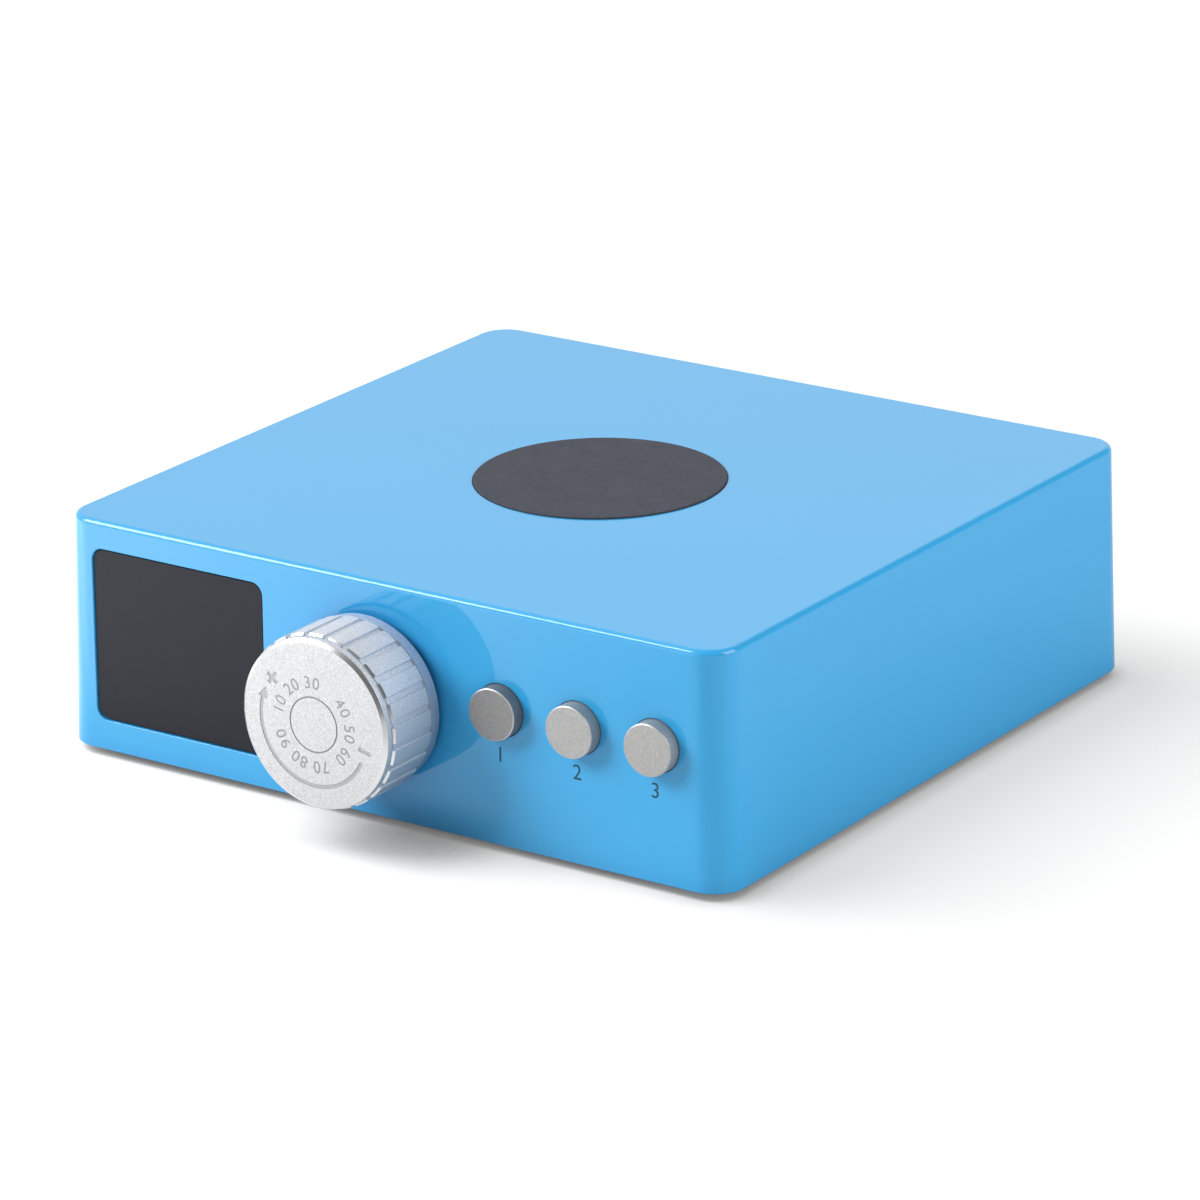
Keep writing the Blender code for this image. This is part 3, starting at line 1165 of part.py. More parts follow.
def inner_leads(datum, material):
    """Leads from the handpiece socket, the pedal jack, and the inlet by way of the switch."""
    forward = (0, -1, 0)
    upward = (0, 0, 1)
    panel = back_y(REAR_Z)
    motor = (MOTOR_SOCKET_X, panel + MOTOR_PIN_TAIL - SEAT_GAP, REAR_Z)
    pedal_back = WALL + PEDAL_BODY_SIZE / 2 * BACK_SLOPE + PEDAL_BODY_DEPTH
    pedal = (PEDAL_SOCKET_X, panel - pedal_back - 2 * SEAT_GAP, REAR_Z)
    inlet = (INLET_X, panel - INLET_BODY_LENGTH - INLET_PIN_TAIL - SEAT_GAP, REAR_Z)
    blade_tip = panel + BEZEL_HEIGHT / 2 * BACK_SLOPE - SWITCH_BODY_DEPTH - BLADE_LENGTH
    upper_blade = (SWITCH_X, blade_tip, REAR_Z + BLADE_SPACING / 2)
    lower_blade = (SWITCH_X, blade_tip, REAR_Z - BLADE_SPACING / 2)
    routes = (
        ("motor_lead", MOTOR_LEAD_RADIUS, (motor, landing(motor[0])), (forward, upward)),
        ("pedal_lead", SINGLE_LEAD_RADIUS, (pedal, landing(pedal[0])), (forward, upward)),
        ("power_lead", SINGLE_LEAD_RADIUS, (inlet, upper_blade), (forward, forward)),
        ("switch_lead", SINGLE_LEAD_RADIUS, (lower_blade, landing(SWITCH_X)), (forward, upward)),
    )
    for name, radius, ends, ways in routes:
        lead(name, radius, ends, ways, datum, material)


def build():
    """Model the whole unit."""
    clear_scene()
    blue = finish("housing_blue", (0.09, 0.36, 0.72), 0.18)
    base_grey = finish("base_grey", (0.20, 0.21, 0.23), 0.55)
    rubber = finish("foot_rubber", (0.03, 0.03, 0.03), 0.80)
    pad_grey = finish("pad_grey", (0.10, 0.105, 0.125), 0.65)
    window_dark = finish("window_dark", (0.055, 0.055, 0.065), 0.30)
    display_glass = finish("display_glass", (0.04, 0.05, 0.05), 0.20)
    aluminium = finish("knob_aluminium", (0.80, 0.80, 0.82), 0.38, 1.0)
    button_metal = finish("button_metal", (0.50, 0.50, 0.50), 0.35, 1.0)
    steel = finish("screw_steel", (0.55, 0.55, 0.57), 0.30, 1.0)
    nickel = finish("socket_nickel", (0.66, 0.65, 0.62), 0.28, 1.0)
    brass = finish("contact_brass", (0.75, 0.58, 0.28), 0.30, 1.0)
    board_green = finish("board_green", (0.02, 0.16, 0.07), 0.45)
    black_plastic = finish("black_plastic", (0.025, 0.025, 0.028), 0.45)
    cream_plastic = finish("cream_plastic", (0.72, 0.68, 0.58), 0.50)
    sleeve_blue = finish("sleeve_dark_blue", (0.02, 0.04, 0.12), 0.35)
    ribbon_grey = finish("ribbon_grey", (0.45, 0.46, 0.47), 0.50)
    lead_black = finish("lead_black", (0.03, 0.03, 0.035), 0.50)

    shift = -(UNIT_FRONT + UNIT_BACK) / 2
    datum = empty("housing_datum", None, (0, shift, FOOT_LIFT))
    knob_axis = empty("knob_axis", datum, (KNOB_X, front_y(KNOB_Z), KNOB_Z), FACING_FRONT)
    body_front = -WALL - ENCODER_SIZE / 2 * FRONT_SLOPE - SEAT_GAP

    upper_housing(datum, blue)
    base_plate(datum, base_grey)
    rubber_feet(datum, rubber)
    base_screws(datum, steel)
    top_pad(datum, pad_grey)
    display(datum, window_dark, nickel, display_glass)
    front_board(datum, board_green, steel)
    encoder(datum, knob_axis, body_front, black_plastic, nickel)
    control_knob(knob_axis, aluminium)
    for index, name in enumerate(BUTTON_NAMES):
        push_button(name, index, datum, button_metal, black_plastic, cream_plastic)
    main_board(datum, board_green)
    heat_sink(datum, aluminium)
    bridge_modules(datum, black_plastic)
    board_parts(datum, black_plastic, sleeve_blue)
    ribbon(datum, cream_plastic, ribbon_grey)
    motor_socket(datum, nickel, black_plastic)
    pedal_socket(datum, black_plastic, nickel)
    power_inlet(datum, black_plastic, brass, nickel)
    power_switch(datum, black_plastic, black_plastic)
    inner_leads(datum, lead_black)


build()
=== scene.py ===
"""Looks of the control unit of a dental micromotor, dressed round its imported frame.

Lengths are metres in the frame's own axes: +Z up, -Y towards the user, the feet on Z = 0.
Pieces that repeat are laid out with Geometry Nodes; turned and lofted pieces come from bmesh.
"""

import json
import logging
import math
from collections.abc import Sequence
from dataclasses import dataclass, replace
from enum import Enum
from typing import Any

import bmesh
import bpy
from mathutils import Euler, Matrix, Vector


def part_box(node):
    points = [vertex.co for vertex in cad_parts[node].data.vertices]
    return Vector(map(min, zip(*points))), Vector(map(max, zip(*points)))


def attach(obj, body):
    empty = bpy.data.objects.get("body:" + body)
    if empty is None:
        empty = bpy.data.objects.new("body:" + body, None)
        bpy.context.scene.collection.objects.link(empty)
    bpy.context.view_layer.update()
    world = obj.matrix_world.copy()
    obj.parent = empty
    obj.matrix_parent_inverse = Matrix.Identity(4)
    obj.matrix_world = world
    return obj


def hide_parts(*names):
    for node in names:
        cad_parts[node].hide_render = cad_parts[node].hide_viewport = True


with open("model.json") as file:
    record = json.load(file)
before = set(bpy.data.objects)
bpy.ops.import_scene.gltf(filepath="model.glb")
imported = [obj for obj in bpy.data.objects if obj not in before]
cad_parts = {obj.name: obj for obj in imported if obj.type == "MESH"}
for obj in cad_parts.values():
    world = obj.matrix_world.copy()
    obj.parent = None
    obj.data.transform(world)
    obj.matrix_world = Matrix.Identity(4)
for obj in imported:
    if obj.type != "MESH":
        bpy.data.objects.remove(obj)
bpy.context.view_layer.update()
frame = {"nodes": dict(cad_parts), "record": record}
LOG = logging.getLogger("control_unit")

Colour = tuple[float, float, float]
Corner = tuple[float, float, float]
Point = tuple[float, float]

# Facets and working clearances
ROUND_STEPS = 96
SMALL_STEPS = 40
CORNER_STEPS = 14
FILLET_STEPS = 6
SOFT_STEPS = 4
FINE_STEPS = 3
TINY_STEPS = 2
OVERRUN = 0.0015
SEAT_GAP = 0.0003
SHARP_ANGLE = 35.0
SLANT = (0.2, 0.97)
ANY_SLOPE = (-2.0, 2.0)
MERGE = 0.000001

# The place of a piece that stays in its own axes
OWN_AXES = Matrix.Identity(4)

# Rays that feel for nearby surfaces, for each shading point
NOOK_SAMPLES = 8


class Facing(Enum):
    """Which way a piece's own +Z points, as Euler angles."""

    UP = (0.0, 0.0, 0.0)
    DOWN = (math.pi, 0.0, 0.0)
    FRONT = (math.pi / 2, 0.0, 0.0)
    REAR = (math.pi / 2, 0.0, math.pi)

    def at(self, place: Sequence[float], lean: float = 0.0) -> Matrix:
        """Matrix that puts a piece at a place.

        Args:
            place: where the piece's own origin goes.
            lean: degrees by which the piece tips back with a drafted wall.

        Returns:
            The piece's matrix in the frame.
        """
        turn = Euler(self.value).to_matrix().to_4x4() @ Matrix.Rotation(-math.radians(lean), 4, "X")
        return Matrix.Translation(Vector(place)) @ turn


class Grain(Enum):
    """How a noise is broken up: its layers, and how strongly the finer ones show."""

    PLAIN = (1.0, 0.5)
    SOFT = (2.0, 0.5)
    GRANULAR = (2.0, 0.6)
    CLOUDY = (3.0, 0.5)
    ROUGH = (3.0, 0.6)
    PITTED = (3.0, 0.65)
    WORN = (4.0, 0.6)
    SMEARED = (5.0, 0.62)


class Signal:
    """A node's output, which adds Math nodes where an expression uses it."""

    def __init__(self, graph: "Graph", socket: bpy.types.NodeSocket) -> None:
        """Wrap one output socket of a graph."""
        self.graph = graph
        self.socket = socket

    def other(self, output: str) -> "Signal":
        """Another output of the same node."""
        return Signal(self.graph, self.socket.node.outputs[output])

    def _math(self, operation: str, *values: "Signal | float") -> "Signal":
        """One Math node on some values."""
        return self.graph.node("ShaderNodeMath", {"operation": operation}, dict(enumerate(values)))

    def __add__(self, value: "Signal | float") -> "Signal":
        """Sum."""
        return self._math("ADD", self, value)

    def __sub__(self, value: "Signal | float") -> "Signal":
        """Difference."""
        return self._math("SUBTRACT", self, value)

    def __rsub__(self, value: float) -> "Signal":
        """Difference from a number."""
        return self._math("SUBTRACT", value, self)

    def __mul__(self, value: "Signal | float") -> "Signal":
        """Product."""
        return self._math("MULTIPLY", self, value)

    def __truediv__(self, value: "Signal | float") -> "Signal":
        """Quotient."""
        return self._math("DIVIDE", self, value)

    __radd__ = __add__
    __rmul__ = __mul__

    def function(self, operation: str, *values: "Signal | float") -> "Signal":
        """Any other Math operation, such as SINE or POWER, with this signal first."""
        return self._math(operation, self, *values)

    def between(self, low: float, high: float) -> "Signal":
        """This signal from 0 to 1, spread over another range."""
        return self * (high - low) + low


class Graph:
    """Adds nodes to a shader or geometry tree and wires them."""

    def __init__(self, tree: bpy.types.NodeTree) -> None:
        """Work on one node tree."""
        self.tree = tree

    def node(
        self,
        kind: str,
        settings: dict[str, Any] | None = None,
        sockets: dict[str | int, Any] | None = None,
        output: str | int = 0,
    ) -> Signal | None:
        """Add a node.

        Args:
            kind: the node's type name.
            settings: properties that are set first, such as a Math node's operation.
            sockets: values or signals for its inputs, by name or number.
            output: which output to return.

        Returns:
            The output as a signal, or None for a node without outputs.
        """
        made = self.tree.nodes.new(kind)
        for key, value in (settings or {}).items():
            setattr(made, key, value)
        for key, value in (sockets or {}).items():
            if isinstance(value, Signal):
                self.tree.links.new(value.socket, made.inputs[key])
            else:
                made.inputs[key].default_value = value
        return Signal(self, made.outputs[output]) if len(made.outputs) else None

    def noise(self, vector: Signal, size: float, grain: Grain = Grain.SOFT) -> Signal:
        """Noise from 0 to 1.

        Args:
            vector: the coordinates, in metres.
            size: about how large its blotches are.
            grain: how it is broken up.

        Returns:
            The noise.
        """
        detail, rough = grain.value
        sockets = {"Vector": vector, "Scale": 1.0 / size, "Detail": detail, "Roughness": rough}
        return self.node("ShaderNodeTexNoise", {"noise_dimensions": "3D"}, sockets)

    def ramp(self, value: Signal, low: float, high: float) -> Signal:
        """Stretch a part of a signal to the whole range from 0 to 1."""
        limits = {"From Min": low, "From Max": high}
        return self.node("ShaderNodeMapRange", {"clamp": True}, {"Value": value, **limits})

    def tint(self, amount: "Signal | float", first: Any, second: Any) -> Signal:
        """Mix two colours by an amount."""
        sockets = {0: amount, 6: first, 7: second}
        return self.node("ShaderNodeMix", {"data_type": "RGBA"}, sockets, 2)

    def bump(self, height: Signal, depth: float) -> Signal:
        """A normal tilted by a height from 0 to 1 that stands for a depth."""
        return self.node("ShaderNodeBump", None, {"Height": height, "Distance": depth, "Strength": 1.0})

    def openness(self, reach: float, **way: Signal) -> Signal:
        """How open the space before a surface is, 1 where nothing stands within a reach.

        Args:
            reach: how far away a surface still counts.
            way: Normal, a direction to look in instead of the surface's own.

        Returns:
            The openness, down to 0 in a closed nook.
        """
        settings = {"samples": NOOK_SAMPLES}
        return self.node("ShaderNodeAmbientOcclusion", settings, {"Distance": reach, **way}, "AO")

    def split(self, vector: Signal) -> tuple[Signal, Signal, Signal]:
        """The X, Y and Z of a vector."""
        x = self.node("ShaderNodeSeparateXYZ", None, {"Vector": vector})
        return x, x.other("Y"), x.other("Z")


def rgba(colour: Colour, level: float = 1.0) -> tuple[float, float, float, float]:
    """A colour as Blender's sockets take it, at a level."""
    return (colour[0] * level, colour[1] * level, colour[2] * level, 1.0)


def grey(level: float) -> tuple[float, float, float, float]:
    """A neutral colour as Blender's sockets take it."""
    return (level, level, level, 1.0)


def fresh_graph(owner: bpy.types.Material | bpy.types.World) -> Graph:
    """Empty the shader graph of a new material or world.

    Args:
        owner: the material or world.

    Returns:
        Its graph, without nodes.
    """
    owner.use_nodes = True
    owner.node_tree.nodes.clear()
    return Graph(owner.node_tree)


@dataclass(frozen=True)
class Finish:
    """A moulded, painted or plated surface with mottling, grain and uneven gloss.

    Sizes are metres; mottle, gloss_change and the like are shares of the value that they change.
    """

    name: str
    colour: Colour
    roughness: float
    metallic: float = 0.0
    mottle: float = 0.06
    mottle_size: float = 0.012
    gloss_change: float = 0.15
    gloss_size: float = 0.006
    grain_size: float = 0.0004
    grain_depth: float = 0.00001
    specular: float = 0.5

    def material(self) -> bpy.types.Material:
        """Make the finish's material, once.

        Returns:
            The material, the same one at each call.
        """
        name = f"{self.name}_finish"
        found = bpy.data.materials.get(name)
        if found:
            return found
        material = bpy.data.materials.new(name)
        graph = fresh_graph(material)
        shader = self.surface(graph, graph.node("ShaderNodeTexCoord", output="Object"))
        graph.node("ShaderNodeOutputMaterial", None, {"Surface": shader})
        return material

    def surface(self, graph: Graph, coords: Signal) -> Signal:
        """Wire the shader.

        Args:
            graph: the material's graph.
            coords: object coordinates, in metres.

        Returns:
            The shader's output.
        """
        colour = self.varied(graph, graph.noise(coords, self.mottle_size, Grain.CLOUDY), self.mottle)
        return self.shader(graph, colour, self.uneven_gloss(graph, coords), self.grain(graph, coords))

    def varied(self, graph: Graph, amount: Signal, change: float) -> Signal:
        """The finish's colour, darker by a share where an amount is 0 and lighter where it is 1."""
        return graph.tint(amount, rgba(self.colour, 1 - change), rgba(self.colour, 1 + change))

    def uneven_gloss(self, graph: Graph, coords: Signal) -> Signal:
        """Let the roughness change a little from place to place.

        Args:
            graph: the material's graph.
            coords: object coordinates, in metres.

        Returns:
            The roughness.
        """
        wear = graph.noise(coords, self.gloss_size, Grain.WORN)
        change = self.roughness * self.gloss_change
        return wear.between(self.roughness - change, self.roughness + change)

    def grain(self, graph: Graph, coords: Signal) -> Signal:
        """Fine moulded or blasted grain as a bumped normal."""
        return graph.bump(graph.noise(coords, self.grain_size, Grain.ROUGH), self.grain_depth)

    def shader(self, graph: Graph, colour: Signal, roughness: Signal, normal: Signal) -> Signal:
        """Add the Principled shader of this finish.

        Args:
            graph: the material's graph.
            colour: the base colour.
            roughness: the roughness.
            normal: the bumped normal.

        Returns:
            The shader's output.
        """
        sockets = {
            "Base Color": colour,
            "Roughness": roughness,
            "Metallic": self.metallic,
            "Specular IOR Level": self.specular,
            "Normal": normal,
        }
        return graph.node("ShaderNodeBsdfPrincipled", None, sockets)


@dataclass(frozen=True)
class GlossCover(Finish):
    """High-gloss coloured plastic: a faint moulded ripple, wiped smears, a few specks of dust, and painted
    shade that darkens its colour in nooks.
    """

    ripple_size: float = 0.0070
    ripple_depth: float = 0.0000040
    smear_roughness: float = 0.030
    smear_size: float = 0.022
    smear_squeeze: Corner = (1.0, 2.4, 1.0)
    smear_span: Point = (0.42, 0.72)
    speck_size: float = 0.0016
    speck_share: float = 0.03
    speck_roughness: float = 0.090
    # Painted shade in nooks: how near a surface must stand to darken the colour, over what span, and how dark
    nook_reach: float = 0.013
    nook_span: Point = (0.25, 0.78)
    nook_painted_shade: Colour = (0.70, 0.72, 0.84)

    def surface(self, graph: Graph, coords: Signal) -> Signal:
        """Wire the shader; the arguments and the result are those of Finish.surface."""
        colour = self.varied(graph, graph.noise(coords, self.mottle_size), self.mottle)
        # Painted shade: the blue darkens where other surfaces stand close, in nooks and beside the knob.
        shaded = tuple(part * level for part, level in zip(self.colour, self.nook_painted_shade))
        clear = graph.ramp(graph.openness(self.nook_reach), *self.nook_span)
        colour = graph.tint(clear, rgba(shaded), colour)
        wiped = graph.node("ShaderNodeMapping", None, {"Vector": coords, "Scale": self.smear_squeeze})
        smear = graph.ramp(graph.noise(wiped, self.smear_size, Grain.SMEARED), *self.smear_span)
        cells = {"Vector": coords, "Scale": 1 / self.speck_size, "Randomness": 1.0}
        speck = graph.node("ShaderNodeTexVoronoi", {"feature": "F1"}, cells)
        dust = speck.function("LESS_THAN", self.speck_share)
        roughness = smear * self.smear_roughness + dust * self.speck_roughness + self.roughness
        ripple = graph.noise(coords, self.ripple_size, Grain.PLAIN)
        height = ripple * (self.ripple_depth / self.grain_depth) + graph.noise(coords, self.grain_size)
        return self.shader(graph, colour, roughness, graph.bump(height, self.grain_depth))


@dataclass(frozen=True)
class BlastedMetal(Finish):
    """Bead-blasted anodised metal: two sizes of pits and a slight sparkle.

    Where a bounce colour is given, faces that look down take it: painted light bounced from the coloured
    panel.
    """

    pit_size: float = 0.00045
    pit_depth: float = 0.000012
    pit_share: float = 0.65
    pit_span: Point = (0.35, 0.68)
    sparkle: float = 0.10
    painted_bounce_colour: Colour | None = None
    painted_bounce_span: Point = (-0.5, 0.8)

    def surface(self, graph: Graph, coords: Signal) -> Signal:
        """Wire the shader; the arguments and the result are those of Finish.surface."""
        coarse = graph.noise(coords, self.pit_size, Grain.PITTED)
        fine = graph.noise(coords, self.grain_size, Grain.GRANULAR)
        pits = coarse * self.pit_share + fine * (1 - self.pit_share)
        level = graph.ramp(pits, *self.pit_span)
        colour = self.varied(graph, level, self.sparkle)
        # Painted bounce light: faces that look down lean towards the panel's blue.
        if self.painted_bounce_colour:
            upward = graph.split(graph.node("ShaderNodeNewGeometry", output="Normal"))[2]
            colour = graph.tint(graph.ramp(upward, *self.painted_bounce_span), rgba(self.painted_bounce_colour), colour)
        dull = self.roughness * (1 + self.gloss_change)
        bright = self.roughness * (1 - self.gloss_change)
        return self.shader(graph, colour, level.between(dull, bright), graph.bump(pits, self.pit_depth))


@dataclass(frozen=True)
class TurnedMetal(Finish):
    """Metal with the fine rings of a lathe about an axis through a point, along Y."""

    centre: Point = (0.0, 0.0)
    ring_pitch: float = 0.00012
    ring_depth: float = 0.000002

    def surface(self, graph: Graph, coords: Signal) -> Signal:
        """Wire the shader; the arguments and the result are those of Finish.surface."""
        x, y, z = graph.split(coords)
        across = x - self.centre[0]
        upward = z - self.centre[1]
        radius = (across * across + upward * upward).function("SQRT")
        tracks = graph.node("ShaderNodeCombineXYZ", None, {"X": radius, "Y": y})
        rings = graph.noise(tracks, self.ring_pitch)
        cloud = graph.noise(coords, self.mottle_size, Grain.CLOUDY)
        colour = self.varied(graph, (rings + cloud) / 2, self.mottle)
        grooves = graph.bump(rings, self.ring_depth)
        return self.shader(graph, colour, self.uneven_gloss(graph, coords), grooves)


@dataclass(frozen=True)
class CircuitBoard(Finish):
    """Green solder mask with faint tracks under it."""

    track_pitch: float = 0.0025
    track_width: float = 0.12
    track_length: float = 3.0
    track_offset: float = 0.35
    track_level: float = 1.7

    def surface(self, graph: Graph, coords: Signal) -> Signal:
        """Wire the shader; the arguments and the result are those of Finish.surface."""
        sockets = {
            "Vector": coords,
            "Scale": 1 / self.track_pitch,
            "Mortar Size": self.track_width,
            "Brick Width": self.track_length,
        }
        tracks = graph.node("ShaderNodeTexBrick", {"offset": self.track_offset}, sockets, "Fac")
        colour = graph.tint(tracks, rgba(self.colour), rgba(self.colour, self.track_level))
        return self.shader(graph, colour, self.uneven_gloss(graph, coords), self.grain(graph, coords))


HOUSING_BLUE = GlossCover(
    "housing_blue", (0.042, 0.400, 0.775), 0.030, mottle=0.012, mottle_size=0.05, grain_size=0.0009,
    grain_depth=0.0000012,
)
PAD_GREY = Finish(
    "pad_grey", (0.048, 0.053, 0.072), 0.62, mottle=0.34, mottle_size=0.0012, grain_size=0.0006,
    grain_depth=0.00004, specular=0.25,
)
WINDOW_DARK = Finish(
    "window_dark", (0.013, 0.014, 0.021), 0.42, mottle=0.12, mottle_size=0.0012, grain_size=0.0005,
    grain_depth=0.000002, specular=0.17,
)
KNOB_BLASTED = BlastedMetal(
    "knob_blasted", (0.605, 0.607, 0.625), 0.50, 0.45, gloss_change=0.15, grain_size=0.00016,
    sparkle=0.30, pit_size=0.00025, pit_depth=0.00012,
)
# A lighter, bluer copy of the knob's metal for its sides: painted light, with a painted blue reflection of
# the panel.
KNOB_SIDES_PAINTED_LIGHT = BlastedMetal(
    "knob_sides_painted_light", (0.76, 0.78, 0.83), 0.50, 0.30, gloss_change=0.15, grain_size=0.00018, sparkle=0.36,
    pit_size=0.00028, pit_depth=0.00015, painted_bounce_colour=(0.31, 0.42, 0.54),
)
# A darker, bluer copy for the rear band: painted shade and a painted blue reflection of the panel close
# behind it.
KNOB_BAND_PAINTED_SHADE = replace(KNOB_SIDES_PAINTED_LIGHT, name="knob_band_painted_shade", colour=(0.50, 0.60, 0.74), painted_bounce_colour=(0.21, 0.34, 0.50))
KNOB_CUT = TurnedMetal("knob_cut", (0.74, 0.74, 0.75), 0.28, 1.0, mottle=0.10, mottle_size=0.0006)
KNOB_MARK = Finish("knob_mark", (0.30, 0.30, 0.31), 0.60, 0.4, mottle=0.12, mottle_size=0.0008)
KNOB_GROOVE = Finish("knob_groove", (0.41, 0.41, 0.42), 0.55, 0.5, mottle=0.12, mottle_size=0.0008)
# A darker copy for the seam groove behind the pads: painted shade in the groove.
KNOB_SEAM_PAINTED_SHADE = Finish("knob_seam_painted_shade", (0.46, 0.46, 0.48), 0.60, 0.5, mottle=0.12, mottle_size=0.0008)
BUTTON_SATIN = BlastedMetal(
    "button_satin", (0.40, 0.40, 0.395), 0.48, 0.45, gloss_change=0.2, grain_size=0.00022, sparkle=0.16,
    pit_size=0.0005, pit_depth=0.00002,
)
# A darker copy of the button satin for the first button: painted shade from the knob beside it.
PAINTED_SHADE_SATIN = replace(BUTTON_SATIN, name="painted_shade_satin", colour=(0.240, 0.238, 0.238))
BUTTON_RIM = Finish("button_rim", (0.55, 0.55, 0.55), 0.42, 0.8, mottle_size=0.0008, grain_depth=0.000003)
LEGEND_INK = Finish(
    "legend_ink", (0.020, 0.078, 0.130), 0.50, mottle=0.15, mottle_size=0.0006, specular=0.2,
)
BASE_GREY = Finish("base_grey", (0.10, 0.105, 0.115), 0.55, grain_depth=0.00004)
FOOT_RUBBER = Finish(
    "foot_rubber", (0.022, 0.022, 0.024), 0.78, mottle=0.2, grain_depth=0.00003, specular=0.3,
)
SCREW_STEEL = Finish("screw_steel", (0.50, 0.50, 0.52), 0.30, 1.0, mottle_size=0.002)
SOCKET_NICKEL = Finish(
    "socket_nickel", (0.66, 0.65, 0.62), 0.24, 1.0, mottle_size=0.004, grain_depth=0.000003,
)
CONTACT_GOLD = Finish("contact_brass", (0.80, 0.60, 0.28), 0.25, 1.0, mottle_size=0.001)
BLACK_PLASTIC = Finish("black_plastic", (0.020, 0.020, 0.023), 0.42, mottle=0.12, grain_depth=0.00002)
CREAM_PLASTIC = Finish("cream_plastic", (0.72, 0.68, 0.58), 0.50)
MARK_WHITE = Finish("mark_white", (0.78, 0.78, 0.76), 0.50)
SLEEVE = Finish("sleeve_dark_blue", (0.02, 0.04, 0.12), 0.35)
RIBBON = Finish("ribbon_grey", (0.45, 0.46, 0.47), 0.50)
LEAD = Finish("lead_black", (0.03, 0.03, 0.035), 0.50)
GLASS_PANEL = Finish("display_glass", (0.04, 0.05, 0.05), 0.15)
BOARD = CircuitBoard("board_green", (0.02, 0.16, 0.07), 0.40)
ALUMINIUM = Finish("knob_aluminium", (0.78, 0.78, 0.79), 0.35, 1.0, mottle_size=0.004)
SLOT_FINISHES = {
    "housing_blue": HOUSING_BLUE,
    "base_grey": BASE_GREY,
    "foot_rubber": FOOT_RUBBER,
    "pad_grey": PAD_GREY,
    "window_dark": WINDOW_DARK,
    "display_glass": GLASS_PANEL,
    "knob_aluminium": ALUMINIUM,
    "button_metal": BUTTON_SATIN,
    "screw_steel": SCREW_STEEL,
    "socket_nickel": SOCKET_NICKEL,
    "contact_brass": CONTACT_GOLD,
    "board_green": BOARD,
    "black_plastic": BLACK_PLASTIC,
    "cream_plastic": CREAM_PLASTIC,
    "sleeve_dark_blue": SLEEVE,
    "ribbon_grey": RIBBON,
    "lead_black": LEAD,
}


def link(name: str, mesh: bpy.types.Mesh) -> bpy.types.Object:
    """Make an object for a mesh, in the scene.

    Args:
        name: the object's name.
        mesh: its mesh.

    Returns:
        The new object.
    """
    piece = bpy.data.objects.new(name, mesh)
    bpy.context.scene.collection.objects.link(piece)
    return piece


def smooth(mesh: bpy.types.Mesh) -> None:
    """Shade a mesh smooth, with its real edges kept sharp."""
    mesh.shade_smooth()
    mesh.set_sharp_from_angle(angle=math.radians(SHARP_ANGLE))


def to_piece(name: str, shape: bmesh.types.BMesh, place: Matrix, finish: Finish) -> bpy.types.Object:
    """Turn a bmesh into an object at the origin, with its place in its mesh.

    Args:
        name: the piece's name.
        shape: the bmesh, which is freed.
        place: the piece's matrix.
        finish: its finish.

    Returns:
        The new object.
    """
    bmesh.ops.remove_doubles(shape, verts=shape.verts, dist=MERGE)
    bmesh.ops.transform(shape, matrix=place, verts=shape.verts)
    bmesh.ops.recalc_face_normals(shape, faces=shape.faces)
    mesh = bpy.data.meshes.new(name)
    shape.to_mesh(mesh)
    shape.free()
    mesh.materials.append(finish.material())
    smooth(mesh)
    return link(name, mesh)


def loft(
    name: str, rings: Sequence[Sequence[Corner]], place: Matrix, finish: Finish, tube: bool = False
) -> bpy.types.Object:
    """Skin rings of equally many points.

    Args:
        name: the piece's name.
        rings: the rings in order.
        place: the piece's matrix.
        finish: its finish.
        tube: join the last ring to the first instead of capping both.

    Returns:
        The new object.
    """
    shape = bmesh.new()
    loops = [[shape.verts.new(point) for point in ring] for ring in rings]
    for lower, upper in zip(loops, loops[1:] + loops[:1] if tube else loops[1:]):
        for index, corner in enumerate(lower):
            after = (index + 1) % len(lower)
            shape.faces.new((corner, lower[after], upper[after], upper[index]))
    if not tube:
        shape.faces.new(loops[0])
        shape.faces.new(loops[-1])
    return to_piece(name, shape, place, finish)


def turned(
    name: str, profile: Sequence[Point], place: Matrix, finish: Finish, steps: int = ROUND_STEPS
) -> bpy.types.Object:
    """Turn a profile of (radius, height) points round its own Z.

    Args:
        name: the piece's name.
        profile: open profile from axis to axis, or the section of a tube, closed here.
        place: the piece's matrix.
        finish: its finish.
        steps: facets in the full turn.

    Returns:
        The new object.
    """
    rings = [at_level(circle(radius, steps), height) for radius, height in profile if radius > 0]
    return loft(name, rings, place, finish, tube=len(rings) == len(profile))


def washer(
    name: str, radii: Point, levels: Point, place: Matrix, finish: Finish, steps: int = ROUND_STEPS
) -> bpy.types.Object:
    """Make a plain ring.

    Args:
        name: the piece's name.
        radii: inner and outer radius.
        levels: lower and upper level.
        place: the piece's matrix.
        finish: its finish.
        steps: facets in the full turn.

    Returns:
        The new object.
    """
    inner, outer = radii
    low, high = levels
    return turned(name, [(inner, low), (outer, low), (outer, high), (inner, high)], place, finish, steps)


